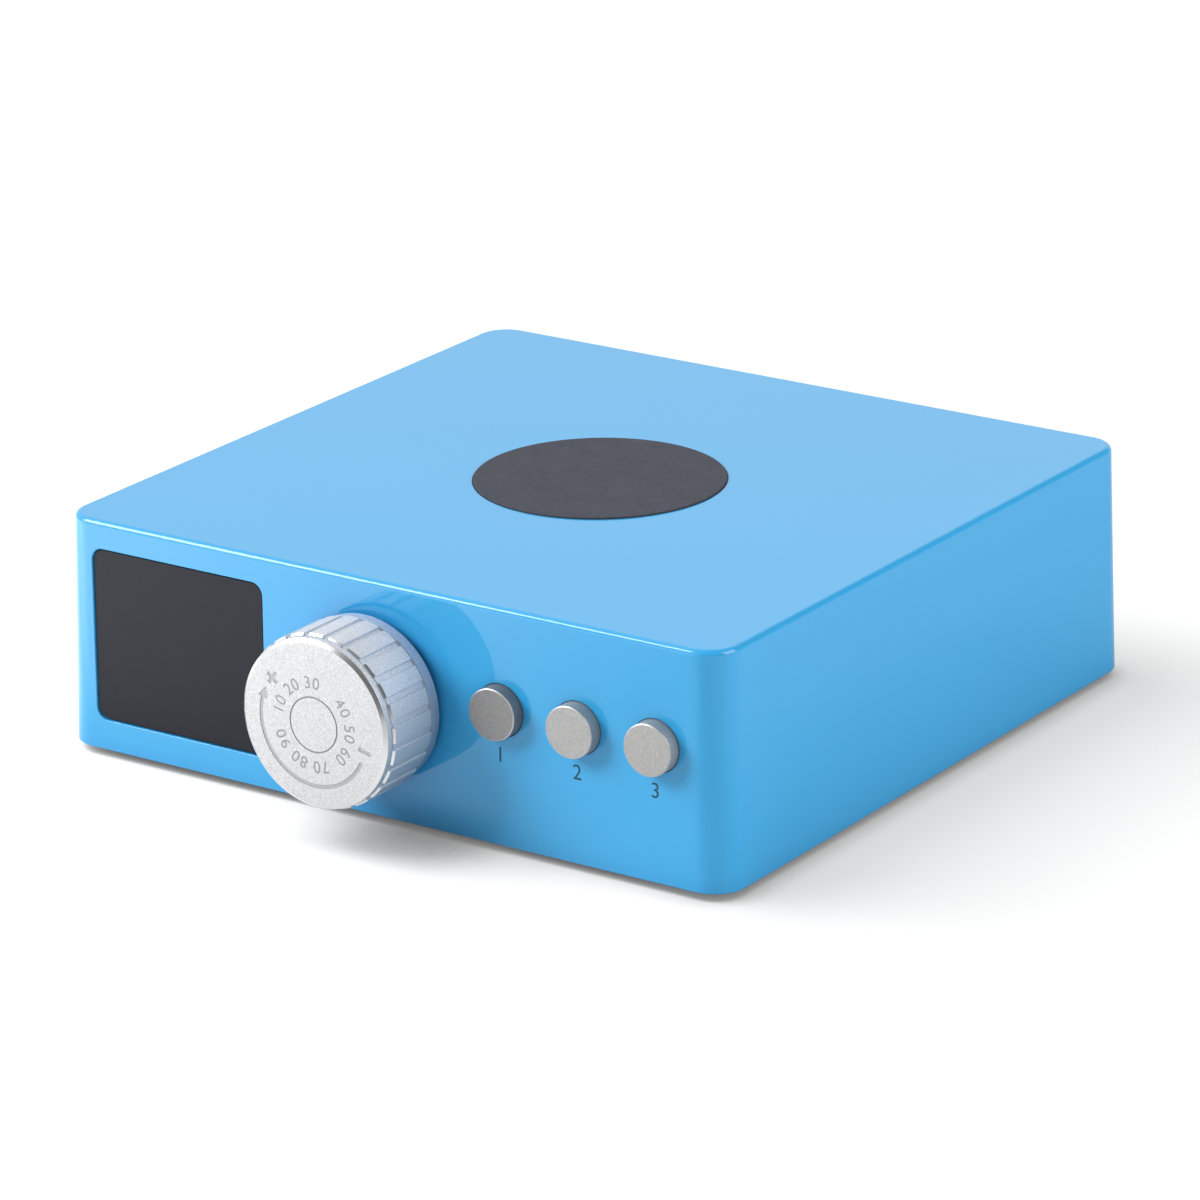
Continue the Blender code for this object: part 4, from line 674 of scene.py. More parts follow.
def filleted(corners: Sequence[Corner], steps: int = FILLET_STEPS) -> list[Point]:
    """Round the inner corners of an open profile.

    Args:
        corners: (x, y, radius) of each corner; a radius of 0 keeps it sharp.
        steps: facets in each rounding.

    Returns:
        The rounded profile's points.
    """
    points: list[Point] = []
    for index, (x, y, radius) in enumerate(corners):
        if not radius:
            points.append((x, y))
            continue
        corner = Vector((x, y))
        before = (Vector(corners[index - 1][:2]) - corner).normalized()
        after = (Vector(corners[(index + 1) % len(corners)][:2]) - corner).normalized()
        half = before.angle(after) / 2
        reach = radius / math.tan(half)
        centre = corner + (before + after).normalized() * radius / math.sin(half)
        start = corner + before * reach - centre
        end = corner + after * reach - centre
        points += [tuple(centre + start.slerp(end, step / steps) * radius) for step in range(steps + 1)]
    return points


def rounded_rectangle(width: float, height: float, radius: float, steps: int = CORNER_STEPS) -> list[Point]:
    """Outline a round-cornered rectangle about the origin, counter-clockwise.

    Args:
        width: its size along X.
        height: its size along Y.
        radius: radius of the corners.
        steps: facets in each corner.

    Returns:
        The outline's points.
    """
    x = width / 2
    y = height / 2
    return filleted([(x, y, radius), (-x, y, radius), (-x, -y, radius), (x, -y, radius)], steps)


def circle(radius: float, steps: int = ROUND_STEPS) -> list[Point]:
    """A round outline about the origin, counter-clockwise."""
    turns = [math.tau * index / steps for index in range(steps)]
    return [(radius * math.cos(turn), radius * math.sin(turn)) for turn in turns]


def at_level(outline: Sequence[Point], level: float) -> list[Corner]:
    """A flat outline lifted to a level."""
    return [(x, y, level) for x, y in outline]


def quarter_turn() -> list[Point]:
    """How far a rounded edge of radius 1 has gone in, and still has to rise, at each of its steps."""
    turns = [math.pi / 2 * step / FILLET_STEPS for step in range(FILLET_STEPS + 1)]
    return [(1 - math.cos(turn), 1 - math.sin(turn)) for turn in turns]


def prism(
    name: str, outline: Sequence[Point], low: float, high: float, place: Matrix, finish: Finish
) -> bpy.types.Object:
    """A flat outline extruded between two levels."""
    return loft(name, [at_level(outline, low), at_level(outline, high)], place, finish)


def plate(
    name: str,
    size: Point,
    corner: float,
    levels: Point,
    edge: float,
    place: Matrix,
    finish: Finish,
    steps: int = CORNER_STEPS,
) -> bpy.types.Object:
    """Make a round-cornered plate whose front edge is eased.

    Args:
        name: the piece's name.
        size: width and height.
        corner: radius of the corners.
        levels: levels of the back and the front.
        edge: radius of the eased edge.
        place: the piece's matrix.
        finish: its finish.
        steps: facets in each corner.

    Returns:
        The new object.
    """
    width, height = size
    back, front = levels
    rings = [at_level(rounded_rectangle(width, height, corner, steps), back)]
    for inward, below in quarter_turn():
        inset = edge * inward
        outline = rounded_rectangle(width - 2 * inset, height - 2 * inset, corner - inset, steps)
        rings.append(at_level(outline, front - edge * below))
    return loft(name, rings, place, finish)


def baked(piece: bpy.types.Object) -> bpy.types.Object:
    """Turn a piece's modifiers into its mesh.

    Args:
        piece: the piece.

    Returns:
        The same piece, without modifiers.
    """
    bpy.context.view_layer.update()
    seen = piece.evaluated_get(bpy.context.evaluated_depsgraph_get())
    mesh = bpy.data.meshes.new_from_object(seen)
    piece.modifiers.clear()
    piece.data = mesh
    return piece


def carved(
    piece: bpy.types.Object, tools: Sequence[bpy.types.Object], operation: str = "DIFFERENCE"
) -> bpy.types.Object:
    """Cut tools from a piece, or join them to it.

    Args:
        piece: the piece that changes.
        tools: closed shapes, which are used up; their finishes stay on the faces that they leave.
        operation: DIFFERENCE, UNION or INTERSECT.

    Returns:
        The changed piece.
    """
    for tool in tools:
        change = piece.modifiers.new("carve", "BOOLEAN")
        change.operation = operation
        change.object = tool
        change.material_mode = "TRANSFER"
    baked(piece)
    for tool in tools:
        bpy.data.objects.remove(tool, do_unlink=True)
    smooth(piece.data)
    return piece


def refinish(
    piece: bpy.types.Object, finish: Finish, radius: float, low: float, high: float, slope: Point = SLANT
) -> None:
    """Give some faces of a turned piece another finish, while it is in its own axes.

    Args:
        piece: the piece, turned round its own Z.
        finish: the other finish.
        radius: least distance from the axis of the faces that change.
        low: least level of the faces that change.
        high: greatest level of the faces that change.
        slope: least and greatest Z of their normals.
    """
    piece.data.materials.append(finish.material())
    other = len(piece.data.materials) - 1
    for face in piece.data.polygons:
        x, y, level = face.center
        if slope[0] < face.normal.z < slope[1] and low <= level <= high and math.hypot(x, y) > radius:
            face.material_index = other


def open_edges(piece: bpy.types.Object) -> int:
    """Count the edges that don't join exactly two faces.

    Args:
        piece: the piece.

    Returns:
        Their number, which is 0 for a closed piece.
    """
    shape = bmesh.new()
    shape.from_mesh(piece.data)
    count = sum(len(edge.link_faces) != 2 for edge in shape.edges)
    shape.free()
    return count


def even_normals(piece: bpy.types.Object) -> bpy.types.Object:
    """Let large flat faces stay flat beside their fillets.

    Args:
        piece: the piece.

    Returns:
        The same piece.
    """
    weigh = piece.modifiers.new("even_normals", "WEIGHTED_NORMAL")
    weigh.keep_sharp = True
    return baked(piece)


def spun(
    name: str,
    corners: Sequence[Corner],
    place: Matrix,
    finish: Finish,
    steps: int = ROUND_STEPS,
    rounding: int = FILLET_STEPS,
) -> bpy.types.Object:
    """Turn a finished piece from its profile's corners, which are (radius, height, fillet).

    Args:
        name: the piece's name.
        corners: the profile's corners, as turned and filleted take them.
        place: the piece's matrix.
        finish: its finish.
        steps: facets in the full turn.
        rounding: facets in each fillet.

    Returns:
        The new object.
    """
    return even_normals(turned(name, filleted(corners, rounding), place, finish, steps))


class Recipe:
    """A Geometry Nodes tree with named inputs that makes a piece out of copies."""

    NAME: str
    INPUTS: dict[str, str]

    def __init__(self) -> None:
        """Build the node tree once."""
        self.tree = bpy.data.node_groups.new(self.NAME, "GeometryNodeTree")
        self.keys = {
            name: self.tree.interface.new_socket(name, in_out="INPUT", socket_type=kind).identifier
            for name, kind in self.INPUTS.items()
        }
        self.tree.interface.new_socket("Copies", in_out="OUTPUT", socket_type="NodeSocketGeometry")
        graph = Graph(self.tree)
        given = graph.node("NodeGroupInput")
        real = graph.node("GeometryNodeRealizeInstances", None, {"Geometry": self.copies(graph, given)})
        sockets = {"Geometry": real, "Material": given.other("Finish")}
        dressed = graph.node("GeometryNodeSetMaterial", None, sockets)
        graph.node("NodeGroupOutput", None, {"Copies": dressed})

    def copies(self, graph: Graph, given: Signal) -> Signal:
        """Wire the copies, which the tree then makes real and dresses.

        Args:
            graph: the tree's graph.
            given: the group's inputs, found with its other method.

        Returns:
            The copies as geometry.
        """
        raise NotImplementedError

    def run(self, piece: bpy.types.Object, **values: Any) -> bpy.types.Object:
        """Apply the tree to a piece.

        Args:
            piece: the object that the tree starts from.
            values: the inputs' values by name; an input is set by its socket's identifier.

        Returns:
            The same object with the result as its mesh.
        """
        change = piece.modifiers.new(self.NAME, "NODES")
        change.node_group = self.tree
        for name, value in values.items():
            change[self.keys[name]] = value
        return baked(piece)


class Repeat(Recipe):
    """Lays out copies of a piece evenly round its own Z."""

    NAME = "repeat"
    INPUTS = {
        "Piece": "NodeSocketGeometry",
        "Count": "NodeSocketInt",
        "Turn": "NodeSocketFloat",
        "Finish": "NodeSocketMaterial",
    }

    def copies(self, graph: Graph, given: Signal) -> Signal:
        """Wire the copies; the arguments and the result are those of Recipe.copies."""
        turn = graph.node("GeometryNodeInputIndex") * given.other("Turn")
        sockets = {
            "Points": graph.node("GeometryNodePoints", None, {"Count": given.other("Count")}),
            "Instance": given.other("Piece"),
            "Rotation": graph.node("ShaderNodeCombineXYZ", None, {"Z": turn}),
        }
        return graph.node("GeometryNodeInstanceOnPoints", None, sockets)

    def lay(self, piece: bpy.types.Object, count: int, place: Matrix = OWN_AXES) -> bpy.types.Object:
        """Repeat a piece that is modelled about its own origin.

        Args:
            piece: the first copy, which becomes all of them.
            count: how many copies go all the way round.
            place: the matrix of the whole layout.

        Returns:
            The same object with every copy in its mesh.
        """
        self.run(piece, Count=count, Turn=math.tau / count, Finish=piece.data.materials[0])
        piece.data.transform(place)
        smooth(piece.data)
        return piece


class DialLegend(Recipe):
    """Sets a line of plain numbers round an arc, as a flat mesh."""

    NAME = "dial_legend"
    INPUTS = {
        "Base": "NodeSocketGeometry",
        "Numbers": "NodeSocketString",
        "Size": "NodeSocketFloat",
        "Radius": "NodeSocketFloat",
        "Centre": "NodeSocketFloat",
        "Finish": "NodeSocketMaterial",
    }

    def glyphs(self, graph: Graph, given: Signal) -> tuple[Signal, Signal, Signal]:
        """Set the digits in a straight line.

        Args:
            graph: the tree's graph.
            given: the group's inputs.

        Returns:
            The glyphs, their pivots, and how far along the line each stands.
        """
        settings = {
            "font": bpy.data.fonts.load("<builtin>"),
            "align_x": "CENTER",
            "align_y": "BOTTOM_BASELINE",
            "pivot_mode": "BOTTOM_CENTER",
        }
        sockets = {"String": given.other("Numbers"), "Size": given.other("Size")}
        glyphs = graph.node("GeometryNodeStringToCurves", settings, sockets)
        pivot = glyphs.other("Pivot Point")
        start = graph.split(graph.node("GeometryNodeInputPosition"))[0]
        settings = {"data_type": "FLOAT", "domain": "INSTANCE"}
        sockets = {"Geometry": glyphs, "Name": "along", "Value": start + graph.split(pivot)[0]}
        stored = graph.node("GeometryNodeStoreNamedAttribute", settings, sockets)
        along = graph.node("GeometryNodeInputNamedAttribute", {"data_type": "FLOAT"}, {"Name": "along"})
        return stored, pivot, along

    def copies(self, graph: Graph, given: Signal) -> Signal:
        """Wire the line; the arguments and the result are those of Recipe.copies."""
        stored, pivot, along = self.glyphs(graph, given)
        radius = given.other("Radius")
        angle = along / radius + given.other("Centre")
        sockets = {
            "Instances": stored,
            "Rotation": graph.node("ShaderNodeCombineXYZ", None, {"Z": angle * -1.0}),
            "Pivot Point": pivot,
            "Local Space": True,
        }
        facing = graph.node("GeometryNodeRotateInstances", None, sockets)
        sockets = {"X": angle.function("SINE") * radius - along, "Y": angle.function("COSINE") * radius}
        move = graph.node("ShaderNodeCombineXYZ", None, sockets)
        sockets = {"Instances": facing, "Translation": move, "Local Space": False}
        placed = graph.node("GeometryNodeTranslateInstances", None, sockets)
        return graph.node("GeometryNodeFillCurve", None, {"Curve": placed})

    def write(
        self,
        shape: bmesh.types.BMesh,
        numbers: str,
        size: float,
        radius: float,
        centre: float,
        finish: Finish,
    ) -> None:
        """Set one line, flat, about the dial's own centre.

        Args:
            shape: the bmesh that the glyphs are added to.
            numbers: the digits to set.
            size: font size.
            radius: the baseline's radius.
            centre: clockwise angle of the line's middle from the top.
            finish: the glyphs' finish.
        """
        holder = link("legend", bpy.data.meshes.new("legend"))
        inked = finish.material()
        mesh = self.run(holder, Numbers=numbers, Size=size, Radius=radius, Centre=centre, Finish=inked).data
        shape.from_mesh(mesh)
        bpy.data.objects.remove(holder, do_unlink=True)
        bpy.data.meshes.remove(mesh)


def slab(
    name: str, shape: bmesh.types.BMesh, bold: float, low: float, high: float, place: Matrix, finish: Finish
) -> bpy.types.Object:
    """Thicken flat glyphs into closed solids.

    Args:
        name: the piece's name.
        shape: faces in the plane of the piece's own X and Y, used up here.
        bold: width added all round their outlines.
        low: level of the underside.
        high: level of the top.
        place: the piece's matrix.
        finish: its finish.

    Returns:
        The new object.
    """
    bmesh.ops.remove_doubles(shape, verts=shape.verts, dist=MERGE)
    rim = {"use_boundary": True, "use_even_offset": True, "use_outset": True}
    bmesh.ops.inset_region(shape, faces=shape.faces[:], thickness=bold, **rim)
    bmesh.ops.translate(shape, vec=(0, 0, low), verts=shape.verts)
    grown = bmesh.ops.extrude_face_region(shape, geom=shape.faces[:], use_keep_orig=True)
    moved = [part for part in grown["geom"] if isinstance(part, bmesh.types.BMVert)]
    bmesh.ops.translate(shape, vec=(0, 0, high - low), verts=moved)
    return to_piece(name, shape, place, finish)


class Unit:
    """Places on the unit that its pieces share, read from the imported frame."""

    SIDE_DRAFT = 1.39
    FRONT_DRAFT = 0.73
    REAR_DRAFT = 0.80

    def __init__(self) -> None:
        """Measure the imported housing."""
        self.low, self.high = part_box("upper_housing")
        self.repeat = Repeat()
        self.legend = DialLegend()

    def front(self, z: float) -> float:
        """Y of the front panel at a height."""
        return self.low.y + (z - self.low.z) * math.tan(math.radians(self.FRONT_DRAFT))

    def rear(self, z: float) -> float:
        """Y of the rear panel at a height."""
        return self.high.y - (z - self.low.z) * math.tan(math.radians(self.REAR_DRAFT))

    def side(self, z: float) -> float:
        """X of the right side at a height."""
        return self.high.x - (z - self.low.z) * math.tan(math.radians(self.SIDE_DRAFT))

    def on_front(self, node: str, lean: float = 0.0) -> Matrix:
        """Matrix on the front panel, centred on a node and looking out."""
        x, z = self.middle(node)
        return Facing.FRONT.at((x, self.front(z), z), lean)

    def on_rear(self, node: str) -> Matrix:
        """Matrix on the rear panel, centred on a node and looking out."""
        x, z = self.middle(node)
        return Facing.REAR.at((x, self.rear(z), z))

    def rear_seat(self, reach: float) -> float:
        """Level at which a flange of some reach clears the leaning rear panel."""
        return SEAT_GAP + reach * math.tan(math.radians(self.REAR_DRAFT))

    @staticmethod
    def middle(node: str) -> Point:
        """X and Z of the middle of a node's box."""
        low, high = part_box(node)
        return ((low.x + high.x) / 2, (low.z + high.z) / 2)

    @staticmethod
    def plan(node: str) -> Point:
        """X and Y of the middle of a node's box."""
        low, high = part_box(node)
        return ((low.x + high.x) / 2, (low.y + high.y) / 2)


def hand_over(piece: bpy.types.Object, body: str, slot: str, *nodes: str) -> None:
    """Let a finished piece ride on a body and hide the CAD nodes that it stands for.

    Args:
        piece: the finished piece.
        body: the body that it moves with.
        slot: its material slot in the record; not used.
        nodes: the CAD nodes that it replaces, if any.
    """
    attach(piece, body)
    if nodes:
        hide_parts(*nodes)
    faces = len(piece.data.polygons)
    LOG.info("%s: %d faces, %d open edges, on %s", piece.name, faces, open_edges(piece), body)


@dataclass
class Cover:
    """The glossy drafted housing with its softened openings."""

    unit: Unit
    corner_radius: float = 0.0077
    top_radius: float = 0.0013
    bottom_radius: float = 0.0003
    wall: float = 0.0028
    top_wall: float = 0.0030
    lip: float = 0.00012
    window_lip: float = 0.00028
    window_corner: float = 0.0030
    window_seat: float = 0.0018
    view_margin: float = 0.0022
    button_gap: float = 0.00014
    pad_gap: float = 0.00015
    pad_seat: float = 0.0017
    bushing_radius: float = 0.0048
    skin: float = 0.00005
    root: float = 0.0003

    def ring(self, z: float, inset: float, radius: float) -> list[Corner]:
        """Outline of the drafted box at a height.

        Args:
            z: the height.
            inset: how far it is moved in from the outer face.
            radius: radius of its corners.

        Returns:
            The outline's points.
        """
        unit = self.unit
        width = 2 * (unit.side(z) - inset)
        low = unit.front(z) + inset
        high = unit.rear(z) - inset
        middle = (low + high) / 2
        return [(x, y + middle, z) for x, y in rounded_rectangle(width, high - low, radius)]

    def shell(self) -> bpy.types.Object:
        """Make the closed outer form with its rounded edges.

        Returns:
            The form, still solid.
        """
        steps = quarter_turn()
        low = self.unit.low.z
        high = self.unit.high.z
        levels = [(low + self.bottom_radius * inward, self.bottom_radius * below) for inward, below in steps]
        levels += [(high - self.top_radius * below, self.top_radius * inward) for inward, below in steps]
        rings = [self.ring(z, inset, self.corner_radius - inset) for z, inset in levels]
        return loft("housing_cover", rings, OWN_AXES, HOUSING_BLUE)

    def hollow(self, inset: float, low: float, drop: float = 0.0) -> bpy.types.Object:
        """Make the space inside as a cutter.

        Args:
            inset: how far its sides are in from the outer face.
            low: level of its floor.
            drop: how far its top is below the top wall.

        Returns:
            The cutter.
        """
        high = self.unit.high.z - self.top_wall - drop
        rings = [self.ring(z, inset, self.corner_radius - inset) for z in (low, high)]
        return loft("hollow", rings, OWN_AXES, HOUSING_BLUE)

    def inner_bosses(self) -> bpy.types.Object:
        """Copy the CAD housing's bosses, ribs and guides, each rooted a little way into the walls.

        Returns:
            The copy, to be joined to the shell.
        """
        source = frame["nodes"]["upper_housing"]
        shape = bmesh.new()
        shape.from_mesh(source.data)
        copy = to_piece("bosses", shape, OWN_AXES, HOUSING_BLUE)
        inset = self.wall + self.skin
        carved(copy, [self.hollow(inset, self.unit.low.z + self.wall, self.skin)], "INTERSECT")
        ceiling = self.unit.high.z - self.top_wall - self.skin
        for corner in copy.data.vertices:
            point = corner.co
            if point.z > ceiling - MERGE:
                point.z += self.root
            if abs(point.x) > self.unit.side(point.z) - inset - MERGE:
                point.x += math.copysign(self.root, point.x)
            if point.y < self.unit.front(point.z) + inset + MERGE:
                point.y -= self.root
            if point.y > self.unit.rear(point.z) - inset - MERGE:
                point.y += self.root
        return copy

    def opening(
        self, name: str, outlines: Sequence[tuple[float, Sequence[Point]]], place: Matrix, lip: float
    ) -> bpy.types.Object:
        """A cutter for an opening whose rim is softened.

        Args:
            name: the cutter's name.
            outlines: (level, outline) pairs from the inside out; the last outline reaches the rim.
            place: the cutter's matrix, on the panel and looking out.
            lip: radius of the softened rim.

        Returns:
            The cutter.
        """
        rings = [at_level(outline, level) for level, outline in outlines]
        rim = outlines[-1][1]
        spans = [Vector((x, y)).length for x, y in rim]
        for inward, below in quarter_turn():
            shares = [1 + lip * inward / span for span in spans]
            rings.append([(x * share, y * share, -lip * below) for (x, y), share in zip(rim, shares)])
        rings.append([(x, y, OVERRUN) for x, y, _ in rings[-1]])
        return loft(name, rings, place, HOUSING_BLUE)

    def window_opening(self) -> bpy.types.Object:
        """Make the stepped opening that the display window sits in.

        Returns:
            The cutter.
        """
        width, height = DisplayWindow(self.unit).size
        width += 2 * SEAT_GAP
        height += 2 * SEAT_GAP
        seat = rounded_rectangle(width, height, self.window_corner)
        margin = 2 * self.view_margin
        view = rounded_rectangle(width - margin, height - margin, self.window_corner - self.view_margin / 2)
        levels = [(-self.wall - OVERRUN, view), (-self.window_seat, view), (-self.window_seat, seat)]
        place = self.unit.on_front("display_window", self.unit.FRONT_DRAFT)
        return self.opening("window_opening", levels, place, self.window_lip)

    def round_opening(self, node: str, radius: float, depth: float, place: Matrix) -> bpy.types.Object:
        """A round opening with a softened rim."""
        return self.opening(f"{node}_opening", [(-depth, circle(radius))], place, self.lip)

    def front_openings(self) -> list[bpy.types.Object]:
        """The cutters of the front panel and of the pad's seat.

        Returns:
            One cutter for each opening.
        """
        unit = self.unit
        through = self.wall + OVERRUN
        tools = [self.window_opening()]
        holes = [(f"{name}_button", Buttons.radius + self.button_gap) for name in Buttons.NAMES]
        for node, radius in holes + [("control_knob", self.bushing_radius)]:
            tools.append(self.round_opening(node, radius, through, unit.on_front(node, unit.FRONT_DRAFT)))
        low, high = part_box("top_pad")
        radius = (high.x - low.x) / 2 + self.pad_gap
        place = Facing.UP.at((*unit.plan("top_pad"), unit.high.z))
        tools.append(self.round_opening("top_pad", radius, self.pad_seat, place))
        return tools

    def rear_openings(self) -> list[bpy.types.Object]:
        """The cutters of the rear panel.

        Returns:
            One cutter for each opening.
        """
        unit = self.unit
        through = self.wall + OVERRUN
        holes = (
            ("motor_socket_shell", MotorSocket.barrel_radius),
            ("pedal_socket", PedalSocket.ferrule_radius),
            ("power_inlet", PowerInlet.body_radius),
        )
        tools = []
        for node, radius in holes:
            tools.append(self.round_opening(node, radius + SEAT_GAP, through, unit.on_rear(node)))
        width = PowerSwitch.width - 2 * PowerSwitch.lap + 2 * SEAT_GAP
        height = PowerSwitch.height - 2 * PowerSwitch.lap + 2 * SEAT_GAP
        outline = rounded_rectangle(width, height, SEAT_GAP)
        place = unit.on_rear("power_switch_frame")
        tools.append(self.opening("switch_opening", [(-through, outline)], place, self.lip))
        return tools

    def build(self) -> None:
        """Make the cover and hand it over."""
        cover = self.shell()
        carved(cover, [self.hollow(self.wall, self.unit.low.z - OVERRUN)])
        carved(cover, [self.inner_bosses()], "UNION")
        carved(cover, self.front_openings() + self.rear_openings())
        hand_over(even_normals(cover), "case", "housing_blue", "upper_housing")


@dataclass
class TopPad:
    """The round dark pad in the top."""

    unit: Unit
    edge: float = 0.00025

    def build(self) -> None:
        """Make the pad and hand it over."""
        low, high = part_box("top_pad")
        radius = (high.x - low.x) / 2
        thick = high.z - low.z
        corners = [(0, 0, 0), (radius, 0, 0), (radius, thick, self.edge), (0, thick, 0)]
        place = Facing.UP.at((*self.unit.plan("top_pad"), low.z))
        pad = spun("pad_disc", corners, place, PAD_GREY, 2 * ROUND_STEPS)
        hand_over(pad, "case", "pad_grey", "top_pad")


@dataclass
class DisplayWindow:
    """The blank dark window."""

    unit: Unit
    corner: float = 0.0027
    edge: float = 0.00015
    recess: float = 0.0004
    thickness: float = 0.0011

    @property
    def size(self) -> Point:
        """Width, and height along the drafted front."""
        low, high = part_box("display_window")
        return (high.x - low.x, (high.z - low.z) / math.cos(math.radians(self.unit.FRONT_DRAFT)))

    def build(self) -> None:
        """Make the window and hand it over."""
        levels = (-self.recess - self.thickness, -self.recess)
        place = self.unit.on_front("display_window", self.unit.FRONT_DRAFT)
        window = plate("window_pane", self.size, self.corner, levels, self.edge, place, WINDOW_DARK)
        hand_over(even_normals(window), "case", "window_dark", "display_window")


@dataclass
class SpeedKnob:
    """The machined knob: blasted face and pads, bright-cut chamfers and engraved marks.

    Stations are measured outwards from the front panel; angles are degrees, counter-clockwise
    from the right as the user sees the face.
    """

    LEGENDS = (("10 20 30", 126.6), ("40 50 60", -1.2), ("70 80 90", -115.0))
    unit: Unit
    # Face and neck
    face: float = 0.0208
    face_radius: float = 0.01865
    rim_radius: float = 0.0195
    rim_drop: float = 0.00075
    neck_radius: float = 0.0193
    neck_reach: float = 0.00155
    # Grip pads
    pad_count: int = 24
    pad_phase: float = 9.0
    pad_radius: float = 0.02005
    pad_chamfer: float = 0.00045
    pad_edge: float = 0.00012
    pad_rear: float = 0.0049
    notch_width: float = 0.0014
    floor_radius: float = 0.0196
    pad_root: float = 0.0190
    # Rear band and its seam
    band_radius: float = 0.01947
    seam_radius: float = 0.0193
    seam_width: float = 0.00085
    rear: float = 0.0011
    # Hollow back
    cavity_radius: float = 0.0163
    cavity_top: float = 0.0155
    hub_radius: float = 0.0082
    hub_rear: float = 0.0055
    bore_radius: float = 0.0062
    bore_top: float = 0.0175
    # Engraved marks and numbers
    mark_depth: float = 0.00012
    ring_radius: float = 0.0063
    ring_width: float = 0.00036
    arc_radius: float = 0.01415
    arc_width: float = 0.00095
    arc_start: float = 164.0
    arc_end: float = 333.7
    arrow_tip: float = 152.5
    arrow_width: float = 0.0026
    sign_width: float = 0.0009
    sign_length: float = 0.0033
    plus_radius: float = 0.01397
    plus_angle: float = 140.7
    minus_radius: float = 0.0140
    minus_angle: float = -14.8
    legend_radius: float = 0.0083
    legend_size: float = 0.0040
    legend_bold: float = 0.00011
    ink_thickness: float = 0.00002

    @property
    def pads_front(self) -> float:
        """Station of the pads' front ends."""
        return self.face - self.rim_drop - self.neck_reach

    def core(self) -> bpy.types.Object:
        """Turn the body without its pads, hollow behind.

        Returns:
            The body in the knob's own axes.
        """
        rim = self.face - self.rim_drop
        pads = self.pads_front - SEAT_GAP
        step = self.pad_rear - self.seam_width
        soft = self.pad_edge
        corners = [
            (0, self.bore_top, 0),
            (self.bore_radius, self.bore_top, 0),
            (self.bore_radius, self.hub_rear, 0),
            (self.hub_radius, self.hub_rear, soft),
            (self.hub_radius, self.cavity_top, 0),
            (self.cavity_radius, self.cavity_top, 0),
            (self.cavity_radius, self.rear, soft),
            (self.band_radius, self.rear, 2 * soft),
            (self.band_radius, step, soft / 2),
            (self.seam_radius, step, 0),
            (self.seam_radius, self.pad_rear + SEAT_GAP, 0),
            (self.floor_radius, self.pad_rear + SEAT_GAP, 0),
            (self.floor_radius, pads, 0),
            (self.neck_radius, pads, 0),
            (self.neck_radius, rim - self.rim_drop / 2, 0),
            (self.rim_radius, rim, soft),
            (self.face_radius, self.face, soft),
            (0, self.face, 0),
        ]
        return turned("speed_knob", filleted(corners), OWN_AXES, KNOB_BLASTED, 2 * ROUND_STEPS)

    def pad(self) -> bpy.types.Object:
        """Make one grip pad, its edges eased and its front chamfered.

        Returns:
            The pad about the knob's own axis.
        """
        half = math.pi / self.pad_count - self.notch_width / 2 / self.pad_radius
        ease = self.pad_edge / self.pad_radius
        steps = 2 * FILLET_STEPS
        spread = [(half - ease) * (2 * step / steps - 1) for step in range(steps + 1)]
        levels = (
            (self.pad_rear, self.pad_radius - self.pad_edge),
            (self.pad_rear + self.pad_edge, self.pad_radius),
            (self.pads_front - self.pad_chamfer, self.pad_radius),
            (self.pads_front, self.pad_radius - self.pad_chamfer),
        )
        rings = []
        for level, radius in levels:
            shoulder = radius - self.pad_edge
            ring = [(self.pad_root, half), (self.pad_root, -half), (shoulder, -half)]
            ring += [(radius, turn) for turn in spread]
            ring.append((shoulder, half))
            rings.append([(r * math.cos(turn), r * math.sin(turn), level) for r, turn in ring])
        middle = math.radians(self.pad_phase) + math.pi / self.pad_count
        return loft("pad", rings, Matrix.Rotation(middle, 4, "Z"), KNOB_BLASTED)

    @staticmethod
    def polar(radius: float, angle: float) -> Vector:
        """A point on the face, at a radius and an angle."""
        turn = math.radians(angle)
        return Vector((radius * math.cos(turn), radius * math.sin(turn)))

    def bar(self, centre: Vector, angle: float) -> list[Point]:
        """Outline one straight stroke of a sign.

        Args:
            centre: the middle of the stroke.
            angle: the way that it runs.

        Returns:
            Its four corners.
        """
        along = self.polar(self.sign_length / 2, angle)
        across = self.polar(self.sign_width / 2, angle + 90)
        corners = ((1, 1), (-1, 1), (-1, -1), (1, -1))
        return [tuple(centre + along * ahead + across * aside) for ahead, aside in corners]

    def arrow(self) -> list[Point]:
        """Outline the long arc with its arrowhead.

        Returns:
            The outline's points.
        """
        step = (self.arc_end - self.arc_start) / ROUND_STEPS
        sweep = [self.arc_start + step * index for index in range(ROUND_STEPS + 1)]
        half = self.arc_width / 2
        barb = self.arrow_width / 2
        outline = [(half, turn) for turn in sweep]
        outline += [(-half, turn) for turn in reversed(sweep)]
        outline += [(-barb, self.arc_start), (0.0, self.arrow_tip), (barb, self.arc_start)]
        return [tuple(self.polar(self.arc_radius + offset, turn)) for offset, turn in outline]

    def marks(self) -> list[bpy.types.Object]:
        """Make the cutters for the ring, the arrow and the two signs.

        Returns:
            The cutters in the knob's own axes.
        """
        levels = (self.face - self.mark_depth, self.face + OVERRUN)
        plus = self.polar(self.plus_radius, self.plus_angle)
        minus = self.polar(self.minus_radius, self.minus_angle)
        outlines = [self.arrow(), self.bar(minus, self.minus_angle)]
        outlines += [self.bar(plus, self.plus_angle + turn) for turn in (0, 90)]
        tools = [prism("mark", outline, *levels, OWN_AXES, KNOB_GROOVE) for outline in outlines]
        radii = (self.ring_radius - self.ring_width / 2, self.ring_radius + self.ring_width / 2)
        tools.append(washer("ring", radii, levels, OWN_AXES, KNOB_MARK))
        return tools

